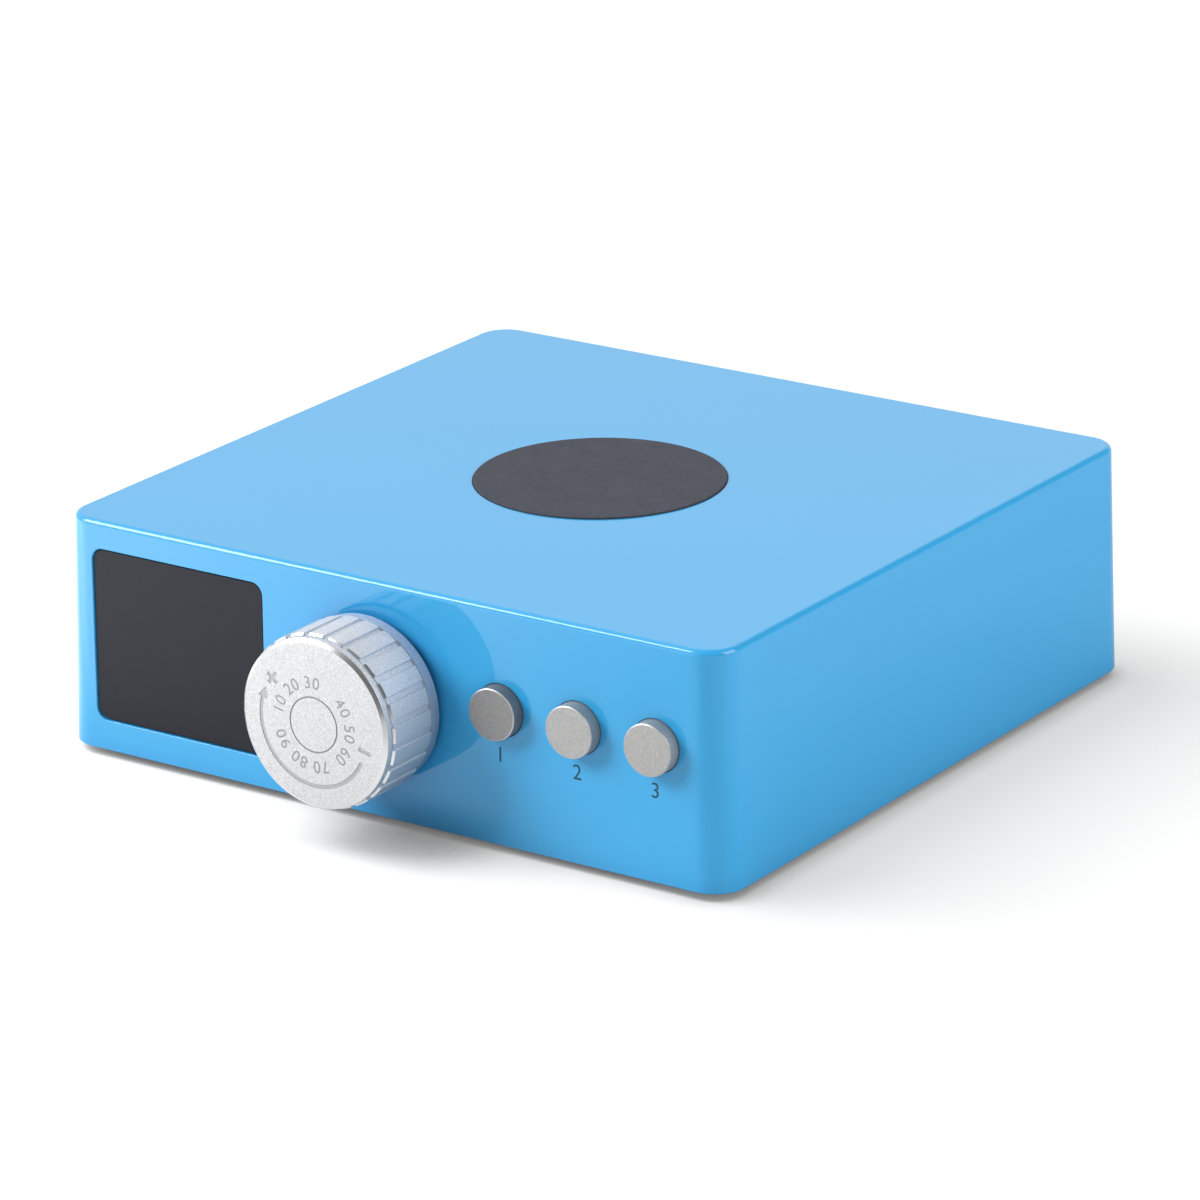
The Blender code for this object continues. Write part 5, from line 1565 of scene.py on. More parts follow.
    def numbers(self, place: Matrix) -> None:
        """Mark plain numbers in three lines round the face, their tops outwards.

        Args:
            place: the knob's matrix.
        """
        shape = bmesh.new()
        for numbers, angle in self.LEGENDS:
            centre = math.radians(90 - angle)
            self.unit.legend.write(shape, numbers, self.legend_size, self.legend_radius, centre, KNOB_MARK)
        low = self.face - self.mark_depth
        high = self.face + self.ink_thickness
        numbers = slab("knob_numbers", shape, self.legend_bold, low, high, place, KNOB_MARK)
        hand_over(numbers, "knob", "window_dark")

    def dress(self, knob: bpy.types.Object) -> None:
        """Give the sides, the chamfers, the rear band and its seam their finishes, in this order: the sides
        take painted light, and the band and the seam take painted shade.

        Args:
            knob: the knob in its own axes.
        """
        rim = self.face - self.rim_drop
        skirt = self.cavity_radius + SEAT_GAP
        chamfer = self.pads_front - self.pad_chamfer
        seam = self.pad_rear - self.seam_width - MERGE
        cut = replace(KNOB_CUT, centre=self.unit.middle("control_knob"))
        refinish(knob, KNOB_SIDES_PAINTED_LIGHT, skirt, self.rear, rim, ANY_SLOPE)
        refinish(knob, cut, self.face_radius, rim, self.face)
        refinish(knob, cut, self.pad_radius - self.pad_chamfer, chamfer, self.pads_front)
        # Painted shade on the rear band and in its seam.
        refinish(knob, KNOB_BAND_PAINTED_SHADE, skirt, self.rear, seam, ANY_SLOPE)
        refinish(knob, KNOB_SEAM_PAINTED_SHADE, self.seam_radius - SEAT_GAP, seam, self.pad_rear - MERGE, ANY_SLOPE)

    def build(self) -> None:
        """Make the knob in its own axes, put it in place and hand it over."""
        knob = self.core()
        carved(knob, [self.unit.repeat.lay(self.pad(), self.pad_count)], "UNION")
        carved(knob, self.marks())
        self.dress(knob)
        even_normals(knob)
        place = self.unit.on_front("control_knob")
        knob.data.transform(place)
        hand_over(knob, "knob", "knob_aluminium", "control_knob")
        self.numbers(place)


@dataclass
class Buttons:
    """The three metal push buttons and the printed numbers under them."""

    NAMES = ("direction", "set", "memory")
    unit: Unit
    radius: float = 0.0060
    edge: float = 0.00035
    flange_radius: float = 0.0072
    flange: float = 0.0012
    stem_radius: float = 0.0020
    legend_size: float = 0.0050
    legend_bold: float = 0.00013
    legend_drop: float = 0.0118
    legend_arc: float = 1.0
    ink_thickness: float = 0.00002

    def button(self, name: str) -> None:
        """Make one turned cap with its flange and stem behind the panel.

        Args:
            name: the button's name.
        """
        node = f"{name}_button"
        low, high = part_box(node)
        panel = self.unit.front(self.unit.middle(node)[1])
        proud = panel - low.y
        rear = panel - high.y
        behind = -Cover.wall - SEAT_GAP - self.flange_radius * math.tan(math.radians(self.unit.FRONT_DRAFT))
        corners = [
            (0, rear, 0),
            (self.stem_radius, rear, 0),
            (self.stem_radius, behind - self.flange, 0),
            (self.flange_radius, behind - self.flange, 0),
            (self.flange_radius, behind, 0),
            (self.radius, behind, 0),
            (self.radius, proud, self.edge),
            (0, proud, 0),
        ]
        # Painted shade: the first button takes the darker copy of the satin.
        finish = PAINTED_SHADE_SATIN if name == self.NAMES[0] else BUTTON_SATIN
        cap = turned(f"{name}_cap", filleted(corners), OWN_AXES, finish)
        refinish(cap, BUTTON_RIM, self.radius - self.edge, proud - self.edge, proud)
        even_normals(cap).data.transform(self.unit.on_front(node))
        hand_over(cap, f"{name}_key", "button_metal", node)

    def legend(self, name: str, number: str) -> None:
        """Print one plain number on the panel under a button, on a nearly straight arc.

        Args:
            name: the button's name.
            number: the number.
        """
        x, z = self.unit.middle(f"{name}_button")
        z -= self.legend_drop
        place = Facing.FRONT.at((x, self.unit.front(z), z), self.unit.FRONT_DRAFT)
        shape = bmesh.new()
        self.unit.legend.write(shape, number, self.legend_size, self.legend_arc, 0.0, LEGEND_INK)
        bmesh.ops.translate(shape, vec=(0, -self.legend_arc, 0), verts=shape.verts)
        ink = self.ink_thickness
        print_layer = slab(f"{name}_number", shape, self.legend_bold, -ink, ink, place, LEGEND_INK)
        hand_over(print_layer, "case", "window_dark")

    def build(self) -> None:
        """Make the buttons and their numbers."""
        for index, name in enumerate(self.NAMES):
            self.button(name)
            self.legend(name, str(index + 1))


@dataclass
class MotorSocket:
    """The round socket for the handpiece lead; its levels are measured out from the rear panel."""

    unit: Unit
    barrel_radius: float = 0.0079
    collar_radius: float = 0.0076
    flange_radius: float = 0.0100
    flange: float = 0.0018
    cavity_radius: float = 0.0060
    proud: float = 0.0060
    length: float = 0.0090
    insert_front: float = -0.0045
    pin_count: int = 5
    pin_circle: float = 0.0034
    pin_radius: float = 0.0006
    pin_tip: float = -0.0008
    pin_tail: float = -0.0125
    soft: float = 0.0004

    def shell(self, place: Matrix) -> None:
        """Make the nickel shell and hand it over.

        Args:
            place: the socket's matrix.
        """
        seat = self.unit.rear_seat(self.flange_radius)
        top = seat + self.flange
        corners = [
            (self.cavity_radius, -self.length, 0),
            (self.barrel_radius, -self.length, 0),
            (self.barrel_radius, seat, 0),
            (self.flange_radius, seat, 0),
            (self.flange_radius, top, self.soft),
            (self.collar_radius, top, self.soft / 2),
            (self.collar_radius, self.proud, self.soft),
            (self.cavity_radius, self.proud, self.soft),
        ]
        shell = spun("handpiece_socket", corners, place, SOCKET_NICKEL)
        hand_over(shell, "case", "socket_nickel", "motor_socket_shell")

    def insulator(self, place: Matrix) -> None:
        """Make the insulator inside the shell and hand it over.

        Args:
            place: the socket's matrix.
        """
        radius = self.cavity_radius - SEAT_GAP
        corners = [
            (0, -self.length, 0),
            (radius, -self.length, 0),
            (radius, self.insert_front, self.soft),
            (0, self.insert_front, 0),
        ]
        insert = spun("socket_insulator", corners, place, BLACK_PLASTIC)
        hand_over(insert, "case", "black_plastic", "motor_socket_insert")

    def pins(self, place: Matrix) -> None:
        """Make the circle of gold pins and hand it over.

        Args:
            place: the socket's matrix.
        """
        corners = [
            (0, self.pin_tail, 0),
            (self.pin_radius, self.pin_tail, 0),
            (self.pin_radius, self.pin_tip, self.pin_radius / 2),
            (0, self.pin_tip, 0),
        ]
        shift = Matrix.Translation((self.pin_circle, 0, 0))
        pin = turned("socket_pins", filleted(corners, FINE_STEPS), shift, CONTACT_GOLD, SMALL_STEPS // 2)
        hand_over(self.unit.repeat.lay(pin, self.pin_count, place), "case", "contact_brass")

    def build(self) -> None:
        """Make the shell, the insulator and the pins."""
        place = self.unit.on_rear("motor_socket_shell")
        self.shell(place)
        self.insulator(place)
        self.pins(place)


@dataclass
class HexNut:
    """A chamfered hexagonal nut round a threaded barrel."""

    radius: float
    bore: float
    thickness: float
    chamfer: float = 0.0005

    def build(self, name: str, node: str, low: float, place: Matrix) -> None:
        """Make the nut and hand it over.

        Args:
            name: the piece's name.
            node: the CAD node that it stands for.
            low: level of the face nearest to the panel's inside.
            place: the nut's matrix.
        """
        high = low + self.thickness
        hexagon = prism(name, circle(self.radius, 6), low, high, place, SOCKET_NICKEL)
        flat = self.radius * math.cos(math.pi / 6)
        corners = [
            (self.bore, low, self.chamfer / 2),
            (flat, low, 0),
            (self.radius, low + self.chamfer, 0),
            (self.radius, high - self.chamfer, 0),
            (flat, high, 0),
            (self.bore, high, self.chamfer / 2),
        ]
        blank = turned("blank", filleted(corners, FINE_STEPS), place, SOCKET_NICKEL)
        nut = carved(hexagon, [blank], "INTERSECT")
        hand_over(even_normals(nut), "case", "socket_nickel", node)


@dataclass
class PedalSocket:
    """The jack for the foot pedal, with the nut that holds it."""

    unit: Unit
    ferrule_radius: float = 0.0047
    bore_radius: float = 0.0033
    proud: float = 0.0042
    width: float = 0.0160
    depth: float = 0.0210
    back_wall: float = 0.0020
    nut_radius: float = 0.0070
    nut_thickness: float = 0.0022
    soft: float = 0.0004

    def body(self, place: Matrix) -> bpy.types.Object:
        """Make the square body with its ferrule, still without its bore.

        Args:
            place: the jack's matrix.

        Returns:
            The body.
        """
        front = -Cover.wall - self.unit.rear_seat(self.width / 2)
        outline = rounded_rectangle(self.width, self.width, self.soft, SOFT_STEPS)
        body = prism("pedal_jack", outline, front - self.depth, front, place, BLACK_PLASTIC)
        inner = front - SEAT_GAP
        corners = [
            (0, inner, 0),
            (self.ferrule_radius, inner, 0),
            (self.ferrule_radius, self.proud, self.soft),
            (0, self.proud, 0),
        ]
        ferrule = turned("ferrule", filleted(corners), place, BLACK_PLASTIC)
        return carved(body, [ferrule], "UNION")

    def bore(self, place: Matrix) -> bpy.types.Object:
        """Make the cutter for the stepped bore.

        Args:
            place: the jack's matrix.

        Returns:
            The cutter.
        """
        mouth = self.bore_radius + self.soft
        floor = self.back_wall - Cover.wall - self.unit.rear_seat(self.width / 2) - self.depth
        profile = [
            (0, floor),
            (self.bore_radius, floor),
            (self.bore_radius, self.proud - self.soft),
            (mouth, self.proud),
            (mouth, self.proud + OVERRUN),
            (0, self.proud + OVERRUN),
        ]
        return turned("bore", profile, place, BLACK_PLASTIC)

    def build(self) -> None:
        """Make the jack and its nut."""
        place = self.unit.on_rear("pedal_socket")
        jack = carved(self.body(place), [self.bore(place)])
        hand_over(even_normals(jack), "case", "black_plastic", "pedal_socket")
        nut = HexNut(self.nut_radius, self.ferrule_radius + SEAT_GAP, self.nut_thickness)
        nut.build("pedal_nut", "pedal_socket_nut", self.unit.rear_seat(self.nut_radius), place)


@dataclass
class PowerInlet:
    """The round low-voltage inlet with its centre pin."""

    unit: Unit
    body_radius: float = 0.0046
    flange_radius: float = 0.0060
    cavity_radius: float = 0.0029
    cavity_depth: float = 0.0090
    length: float = 0.0120
    proud: float = 0.0016
    pin_radius: float = 0.0010
    pin_recess: float = 0.0008
    pin_tail: float = 0.0030
    soft: float = 0.0004

    def body(self, place: Matrix) -> None:
        """Make the flanged body round its cavity and hand it over.

        Args:
            place: the inlet's matrix.
        """
        seat = self.unit.rear_seat(self.flange_radius)
        floor = self.proud - self.cavity_depth
        hole = self.pin_radius + SEAT_GAP
        corners = [
            (hole, -self.length, 0),
            (self.body_radius, -self.length, 0),
            (self.body_radius, seat, 0),
            (self.flange_radius, seat, 0),
            (self.flange_radius, self.proud, self.soft),
            (self.cavity_radius, self.proud, self.soft / 2),
            (self.cavity_radius, floor, 0),
            (hole, floor, 0),
        ]
        body = spun("inlet_body", corners, place, BLACK_PLASTIC)
        hand_over(body, "case", "black_plastic", "power_inlet")

    def pin(self, place: Matrix) -> None:
        """Make the centre pin and hand it over.

        Args:
            place: the inlet's matrix.
        """
        tip = self.proud - self.pin_recess
        tail = -self.length - self.pin_tail
        corners = [(0, tail, 0), (self.pin_radius, tail, 0), (self.pin_radius, tip, self.soft), (0, tip, 0)]
        pin = spun("inlet_pin", corners, place, CONTACT_GOLD, SMALL_STEPS, SOFT_STEPS)
        hand_over(pin, "case", "contact_brass", "power_inlet_pin")

    def build(self) -> None:
        """Make the inlet's body and its pin."""
        place = self.unit.on_rear("power_inlet")
        self.body(place)
        self.pin(place)


@dataclass
class PowerSwitch:
    """The snap-in rocker switch with its white signs.

    A sign's stroke is a share of the rocker's half width; the bar's length and the ring's radius
    are shares of how far the rocker reaches from its pivot.
    """

    unit: Unit
    width: float = 0.0150
    height: float = 0.0210
    thickness: float = 0.0018
    corner: float = 0.0015
    lap: float = 0.0010
    depth: float = 0.0140
    blade_width: float = 0.0048
    blade_thickness: float = 0.0008
    blade_length: float = 0.0070
    blade_spacing: float = 0.0080
    side_wall: float = 0.0014
    cavity_depth: float = 0.0078
    soft: float = 0.0005
    rocker_radius: float = 0.0075
    throw: float = 20.0
    pivot: float = 0.0011
    crest: float = 0.0012
    back: float = 0.0038
    rocker_gap: float = 0.0003
    sign_depth: float = 0.00002
    stroke_share: float = 1 / 9
    bar_share: float = 1 / 2.4
    ring_share: float = 1 / 4.4

    @property
    def half_width(self) -> float:
        """Half the rocker's width."""
        return self.width / 2 - self.lap - self.side_wall - self.rocker_gap

    @property
    def tilt(self) -> float:
        """How far the rocker leans from its middle, in radians."""
        return math.radians(self.throw / 2)

    @property
    def end(self) -> float:
        """Angle about the pivot from which the rocker's rounded end runs back, in radians."""
        return math.asin(self.crest / self.rocker_radius * math.cos(self.tilt)) + self.tilt

    def bezel(self, place: Matrix) -> bpy.types.Object:
        """Make the frame that shows on the panel, with its box and blades behind.

        Args:
            place: the switch's matrix.

        Returns:
            The frame.
        """
        seat = self.unit.rear_seat(self.height / 2)
        top = seat + self.thickness
        back = seat - self.depth
        size = (self.width, self.height)
        bezel = plate(
            "switch_bezel", size, self.corner, (seat, top), self.soft, place, BLACK_PLASTIC, FILLET_STEPS
        )
        width = self.width - 2 * self.lap
        box = rounded_rectangle(width, self.height - 2 * self.lap, SEAT_GAP, TINY_STEPS)
        parts = [prism("box", box, back, seat + SEAT_GAP, place, BLACK_PLASTIC)]
        corner = self.blade_thickness / 4
        blade = rounded_rectangle(self.blade_width, self.blade_thickness, corner, TINY_STEPS)
        tail = back - self.blade_length
        for side in (-1, 1):
            there = place @ Matrix.Translation((0, side * self.blade_spacing / 2, 0))
            parts.append(prism("blade", blade, tail, back + SEAT_GAP, there, SOCKET_NICKEL))
        carved(bezel, parts, "UNION")
        across = width - 2 * self.side_wall
        along = 2 * (self.rocker_radius + self.rocker_gap)
        inner = rounded_rectangle(across, along, SEAT_GAP, TINY_STEPS)
        floor = top - self.cavity_depth
        return carved(bezel, [prism("cavity", inner, floor, top + OVERRUN, place, BLACK_PLASTIC)])

    def rocker(self, place: Matrix) -> bpy.types.Object:
        """Make the rocker, tipped to its off side.

        Args:
            place: the matrix of its pivot.

        Returns:
            The rocker.
        """
        radius = self.rocker_radius
        turn_back = self.end + math.asin(self.back / radius)
        steps = 2 * FILLET_STEPS
        arc = [self.end - turn_back * step / steps for step in range(steps + 1)]
        side = [(self.crest, 0.0)]
        side += [(radius * math.sin(turn), radius * math.cos(turn)) for turn in arc]
        side += [(out, -up) for out, up in reversed(side[1:])]
        half = self.half_width
        ease = self.soft / 2
        rings = []
        for x, inset in ((-half, ease), (ease - half, 0.0), (half - ease, 0.0), (half, ease)):
            scale = 1 - inset / radius
            rings.append([(x, up * scale, out * scale) for out, up in side])
        return loft("switch_rocker", rings, place, BLACK_PLASTIC)

    def signs(self, place: Matrix) -> bpy.types.Object:
        """Print the bar and the ring on the two halves of the rocker.

        Args:
            place: the matrix of its pivot.

        Returns:
            Both signs as one piece.
        """
        reach = self.rocker_radius * math.cos(self.end)
        rise = self.rocker_radius * math.sin(self.end)
        slope = math.atan2(rise - self.crest, reach)
        middle = (rise + self.crest) / 2
        upper = place @ Matrix.Translation((0, reach / 2, middle)) @ Matrix.Rotation(slope, 4, "X")
        lower = place @ Matrix.Translation((0, -reach / 2, middle)) @ Matrix.Rotation(-slope, 4, "X")
        levels = (-self.sign_depth, self.sign_depth)
        stroke = self.half_width * self.stroke_share
        bar = rounded_rectangle(stroke, reach * self.bar_share, stroke / 3, FINE_STEPS)
        mark = prism("switch_signs", bar, *levels, upper, MARK_WHITE)
        outer = reach * self.ring_share
        ring = washer("ring", (outer - stroke, outer), levels, lower, MARK_WHITE, SMALL_STEPS)
        return carved(mark, [ring], "UNION")

    def build(self) -> None:
        """Make the frame, the rocker and its signs."""
        place = self.unit.on_rear("power_switch_frame")
        hand_over(even_normals(self.bezel(place)), "case", "black_plastic", "power_switch_frame")
        tipped = place @ Matrix.Translation((0, 0, self.pivot)) @ Matrix.Rotation(self.tilt, 4, "X")
        hand_over(even_normals(self.rocker(tipped)), "rocker", "black_plastic", "power_rocker")
        hand_over(self.signs(tipped), "rocker", "cream_plastic")


@dataclass
class Underside:
    """The four rubber feet and the four base screws."""

    unit: Unit
    foot_radius: float = 0.0066
    foot_edge: float = 0.0006
    stem_radius: float = 0.0022
    tip_radius: float = 0.00165
    head_radius: float = 0.0028
    shank_radius: float = 0.0014
    head_height: float = 0.0012
    slot_width: float = 0.0007
    slot_depth: float = 0.0007
    slot_length: float = 0.0032
    corners: tuple[str, ...] = ("front_left", "rear_left", "front_right", "rear_right")

    def foot(self, name: str) -> None:
        """Make one push-in foot.

        Args:
            name: the corner that it stands at.
        """
        node = f"foot_{name}"
        low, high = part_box(node)
        tall = high.z - low.z
        tread = self.unit.low.z - low.z
        corners = [
            (0, 0, 0),
            (self.foot_radius, 0, self.foot_edge),
            (self.foot_radius, tread, self.foot_edge / 4),
            (self.stem_radius, tread, 0),
            (self.stem_radius, tall - self.foot_edge, 0),
            (self.tip_radius, tall, 0),
            (0, tall, 0),
        ]
        place = Facing.UP.at((*self.unit.plan(node), low.z))
        foot = spun(f"rubber_{node}", corners, place, FOOT_RUBBER, SMALL_STEPS)
        hand_over(foot, "case", "foot_rubber", node)

    def screw(self, name: str) -> None:
        """Make one pan-head screw with a cross recess.

        Args:
            name: the corner that it stands at.
        """
        node = f"base_screw_{name}"
        low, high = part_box(node)
        top = self.head_height
        place = Facing.DOWN.at((*self.unit.plan(node), low.z + top))
        length = high.z - low.z - top
        corners = [
            (0, -length, 0),
            (self.shank_radius, -length, 0),
            (self.shank_radius, 0, 0),
            (self.head_radius, 0, 0),
            (self.head_radius, top, top / 2),
            (0, top, 0),
        ]
        head = turned(f"base_{name}_screw", filleted(corners), place, SCREW_STEEL, SMALL_STEPS)
        slot = rounded_rectangle(self.slot_width, self.slot_length, self.slot_width / 3, TINY_STEPS)
        for turn in (0, math.pi / 2):
            there = place @ Matrix.Rotation(turn, 4, "Z")
            carved(head, [prism("slot", slot, top - self.slot_depth, top + OVERRUN, there, SCREW_STEEL)])
        hand_over(even_normals(head), "case", "screw_steel", node)

    def build(self) -> None:
        """Make the feet and the screws."""
        for name in self.corners:
            self.foot(name)
            self.screw(name)


PARTS = (
    Cover, TopPad, DisplayWindow, SpeedKnob, Buttons, MotorSocket, PedalSocket, PowerInlet, PowerSwitch,
    Underside,
)


class Lit(Enum):
    """What a lamp lights, as the link state of the floor."""

    UNIT = "EXCLUDE"
    FLOOR = "INCLUDE"


def toward(azimuth: float, elevation: float) -> Vector:
    """Find the way to a place in the sky.

    Args:
        azimuth: degrees round from the front, positive to the right.
        elevation: degrees up from level.

    Returns:
        The way, with a length of 1.
    """
    turn = math.radians(azimuth)
    lift = math.radians(elevation)
    return Vector((math.sin(turn) * math.cos(lift), -math.cos(turn) * math.cos(lift), math.sin(lift)))


@dataclass(frozen=True)
class Lamp:
    """A square soft panel: where it hangs, its power in watts and its size in metres."""

    name: str
    lit: Lit
    azimuth: float
    elevation: float
    distance: float
    power: float
    size: float

    def build(self, floor: bpy.types.Object) -> None:
        """Hang the lamp, facing the unit.

        Args:
            floor: the floor, which the lamp lights alone or leaves out.
        """
        light = bpy.data.lights.new(self.name, "AREA")
        light.energy = self.power
        light.shape = "SQUARE"
        light.size = self.size
        lamp = bpy.data.objects.new(self.name, light)
        lamp.visible_camera = False
        shine = toward(self.azimuth, self.elevation)
        lamp.location = shine * self.distance
        lamp.rotation_euler = shine.to_track_quat("Z", "Y").to_euler()
        bpy.context.scene.collection.objects.link(lamp)
        receivers = bpy.data.collections.new(f"{self.name}_receivers")
        receivers.objects.link(floor)
        receivers.collection_objects[0].light_linking.link_state = self.lit.value
        lamp.light_linking.receiver_collection = receivers


@dataclass(frozen=True)
class Studio:
    """The pale floor, the surrounding light and the lamps.

    Azimuths are degrees from the front, positive to the right; a level of 1 is white.
    """

    floor_size: float = 6.0
    floor_colour: float = 0.24
    seen_floor_colour: float = 0.115
    fibre_size: float = 0.004
    fibre_depth: float = 0.00002
    floor_lift: float = 0.65
    # The shadow close under the unit
    contact_reach: float = 0.008
    contact_span: Point = (0.10, 0.90)
    contact_level: float = 0.28
    # The shadow at its front left, felt toward a low light
    front_way: Point = (-70.0, 27.0)
    front_reach: float = 0.030
    front_line: Point = (0.066, 0.071)
    front_end: Point = (-0.085, -0.060)
    front_span: Point = (0.34, 0.70)
    front_level: float = 0.06
    front_colour: float = 0.155
    front_lift: float = 0.50
    # The white distance
    far_span: Point = (0.30, 1.20)
    far_lift: float = 0.50
    # What the gloss mirrors of the floor
    glow: float = 2.1
    glow_span: Point = (0.0, 0.16)
    glow_reach: Point = (0.085, 0.12)
    glow_side: Point = (0.095, 0.125)
    glow_beside: float = 0.40
    shade: float = 0.55
    shade_rise: Point = (0.05, 0.085)
    shade_fall: Point = (0.13, 0.24)
    # The surrounding light, and its dim side in the gloss
    sky: float = 0.32
    seen_sky: float = 1.0
    dim_sky: float = 0.16
    dim_side: Corner = (0.8, 0.0, 0.6)
    dim_span: Point = (0.10, 0.45)
    lamps: tuple[Lamp, ...] = (
        Lamp("key", Lit.UNIT, -52.0, 34.0, 2.40, 56.0, 1.18),
        Lamp("side", Lit.UNIT, 100.0, 30.0, 1.80, 21.4, 1.30),
        Lamp("floor_light", Lit.FLOOR, -64.0, 61.0, 1.50, 88.0, 1.20),
        Lamp("low_light", Lit.FLOOR, -68.0, 40.0, 1.60, 30.0, 0.70),
    )

    def contact_shadow(self, graph: Graph) -> Signal:
        """1 on the open floor, and darker where the unit nearly touches it."""
        clear = graph.openness(self.contact_reach)
        return graph.ramp(clear, *self.contact_span).between(self.contact_level, 1.0)

    def front_shadow(self, graph: Graph) -> Signal:
        """Find where the unit hides the light from its front left.

        Args:
            graph: the floor's graph.

        Returns:
            1 on the open floor, less in the shadow.
        """
        way = graph.node("ShaderNodeCombineXYZ", None, dict(enumerate(toward(*self.front_way))))
        clear = graph.openness(self.front_reach, Normal=way)
        return graph.ramp(clear, *self.front_span).between(self.front_level, 1.0)

    def mirrored_light(self, graph: Graph, left: Signal, near: Signal) -> Signal:
        """Find where the floor shines in the gloss: ahead of the unit's left part, and less beside it.

        Args:
            graph: the floor's graph.
            left: distance to the left of the unit's middle.
            near: distance in front of it.

        Returns:
            1 where it shines most.
        """
        beside = graph.ramp(left, *self.glow_side) * self.glow_beside
        ahead = graph.ramp(near, *self.glow_reach)
        return graph.ramp(left, *self.glow_span) * ahead.function("MAXIMUM", beside)

    def mirrored_shade(self, graph: Graph, right: Signal) -> Signal:
        """How much dimmer the floor is in the gloss, in a band to the right of the unit's middle."""
        band = graph.ramp(right, *self.shade_rise) * (1.0 - graph.ramp(right, *self.shade_fall))
        return band * self.shade

    def floor_material(self) -> bpy.types.Material:
        """Wire the floor: lifted to white where it is seen, and uneven in the gloss.

        Returns:
            The material.
        """
        material = bpy.data.materials.new("floor")
        graph = fresh_graph(material)
        camera, glossy = self.paths(graph)
        seen = camera.function("MAXIMUM", glossy)
        place = graph.node("ShaderNodeTexCoord", output="Object")
        right, deep, _ = graph.split(place)
        left = right * -1.0
        near = deep * -1.0
        ahead = graph.ramp(near, *self.front_line) * graph.ramp(left, *self.front_end)
        away = graph.ramp((right * right + deep * deep).function("SQRT"), *self.far_span)
        contact = self.contact_shadow(graph)
        front = self.front_shadow(graph)
        fibres = graph.bump(graph.noise(place, self.fibre_size), self.fibre_depth)
        true = graph.node("ShaderNodeBsdfDiffuse", None, {"Color": grey(self.floor_colour), "Normal": fibres})
        shown = graph.tint(ahead, grey(self.seen_floor_colour), front * self.front_colour)
        pale = graph.node("ShaderNodeBsdfDiffuse", None, {"Color": shown})
        matte = graph.node("ShaderNodeMixShader", None, {0: seen, 1: true, 2: pale})
        shadow = contact + (front - contact) * ahead
        lift = ahead.between(self.floor_lift, self.front_lift)
        level = (seen - glossy * self.mirrored_shade(graph, right)) * shadow * lift
        level = level + glossy * self.mirrored_light(graph, left, near) * self.glow
        level = level + camera * away * self.far_lift
        glow = graph.node("ShaderNodeEmission", None, {"Strength": level})
        both = graph.node("ShaderNodeAddShader", None, {0: matte, 1: glow})
        graph.node("ShaderNodeOutputMaterial", None, {"Surface": both})
        return material

    def floor(self) -> bpy.types.Object:
        """Lay the large pale floor.

        Returns:
            The floor.
        """
        half = self.floor_size / 2
        mesh = bpy.data.meshes.new("floor")
        corners = [(-half, -half, 0), (half, -half, 0), (half, half, 0), (-half, half, 0)]
        mesh.from_pydata(corners, [], [(0, 1, 2, 3)])
        mesh.materials.append(self.floor_material())
        floor = link("floor", mesh)
        return floor

    @staticmethod
    def paths(graph: Graph) -> tuple[Signal, Signal]:
        """Tell apart the rays that show the stage.

        Args:
            graph: the graph of the floor or the world.

        Returns:
            1 for rays that show it directly or through glass, and 1 for rays from the gloss.
        """
        path = graph.node("ShaderNodeLightPath", output="Is Camera Ray")
        return path.function("MAXIMUM", path.other("Is Transmission Ray")), path.other("Is Glossy Ray")

    def world(self) -> None:
        """Even light from all round, white where it is seen and dim on the unlit side in the gloss."""
        world = bpy.data.worlds.new("studio")
        bpy.context.scene.world = world
        graph = fresh_graph(world)
        camera, glossy = self.paths(graph)
        way = graph.node("ShaderNodeTexCoord", output="Generated")
        settings = {"operation": "DOT_PRODUCT"}
        side = graph.node("ShaderNodeVectorMath", settings, {0: way, 1: self.dim_side}, "Value")
        mirrored = graph.ramp(side, *self.dim_span).between(self.seen_sky, self.dim_sky)
        level = camera * self.seen_sky + glossy * mirrored + (1.0 - camera - glossy) * self.sky
        back = graph.node("ShaderNodeBackground", None, {"Color": grey(1.0), "Strength": level})
        graph.node("ShaderNodeOutputWorld", None, {"Surface": back})

    def build(self) -> None:
        """Set the stage."""
        floor = self.floor()
        self.world()
        for lamp in self.lamps:
            lamp.build(floor)
        bpy.context.scene.view_settings.view_transform = "Standard"


@dataclass(frozen=True)
class PhotoCamera:
    """The photograph's viewpoint, found from the box's edges in its 1200 by 1200 pixels."""

    yaw: float = 34.442
    pitch: float = 19.535
    roll: float = -0.838
    distance: float = 1.38334
    slide_right: float = -0.000735
    slide_up: float = 0.023316
    focal_pixels: float = 5970.98
    image_pixels: float = 1200.0
    sensor: float = 36.0

    def build(self) -> None:
        """Place the camera and make it the scene's."""
        back = toward(self.yaw, self.pitch)
        level_right = (-back).cross(Vector((0, 0, 1))).normalized()
        level_up = level_right.cross(-back)
        roll = math.radians(self.roll)
        right = level_right * math.cos(roll) + level_up * math.sin(roll)
        up = level_up * math.cos(roll) - level_right * math.sin(roll)
        target = Vector((*Unit.plan("upper_housing"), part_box("upper_housing")[0].z))
        place = target + back * self.distance + right * self.slide_right + up * self.slide_up
        lens = bpy.data.cameras.new("photo_camera")
        lens.sensor_width = self.sensor
        lens.lens = self.focal_pixels / self.image_pixels * self.sensor
        camera = bpy.data.objects.new("photo_camera", lens)
        camera.matrix_world = Matrix.Translation(place) @ Matrix((right, up, back)).transposed().to_4x4()
        bpy.context.scene.collection.objects.link(camera)
        bpy.context.scene.camera = camera


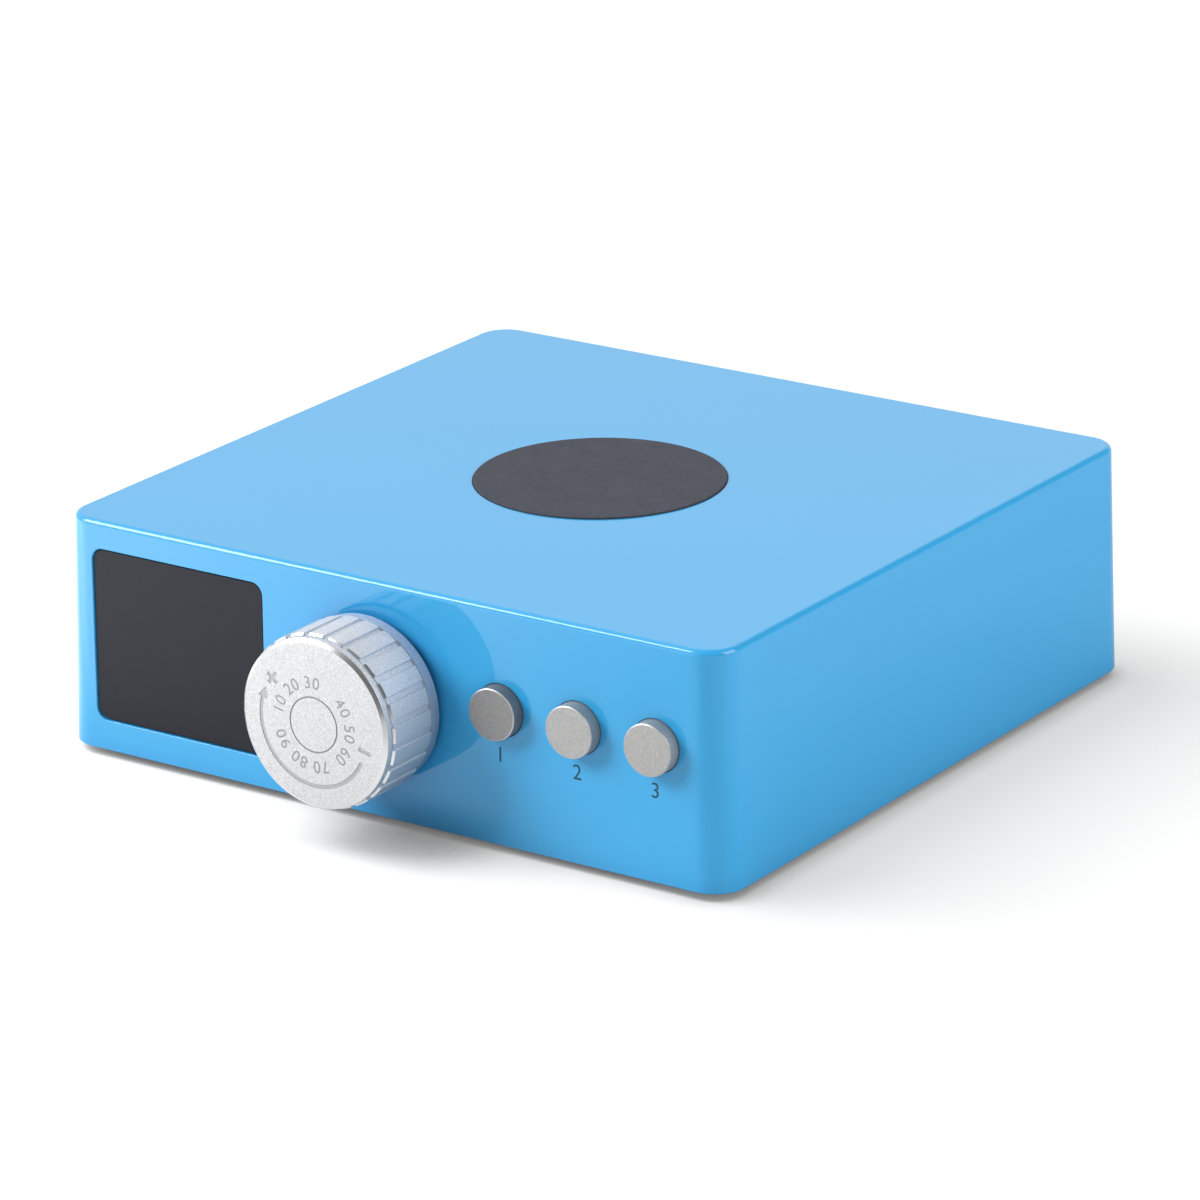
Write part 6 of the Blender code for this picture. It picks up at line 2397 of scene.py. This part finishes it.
def dress_inner_pieces() -> None:
    """Give every CAD node its slot's finish; those that a piece replaces stay hidden."""
    for entry in frame["record"]["subparts"]:
        node = frame["nodes"][entry["node"]]
        material = SLOT_FINISHES[entry["material_slot"]].material()
        if not node.material_slots:
            node.data.materials.append(material)
        for place in node.material_slots:
            place.material = material


def main() -> None:
    """Build the unit piece by piece, then the studio and the camera."""
    logging.basicConfig(level=logging.INFO, format="%(name)s %(message)s")
    unit = Unit()
    dress_inner_pieces()
    for part in PARTS:
        part(unit).build()
        LOG.info("%s done", part.__name__)
    Studio().build()
    PhotoCamera().build()


if __name__ == "__main__":
    main()
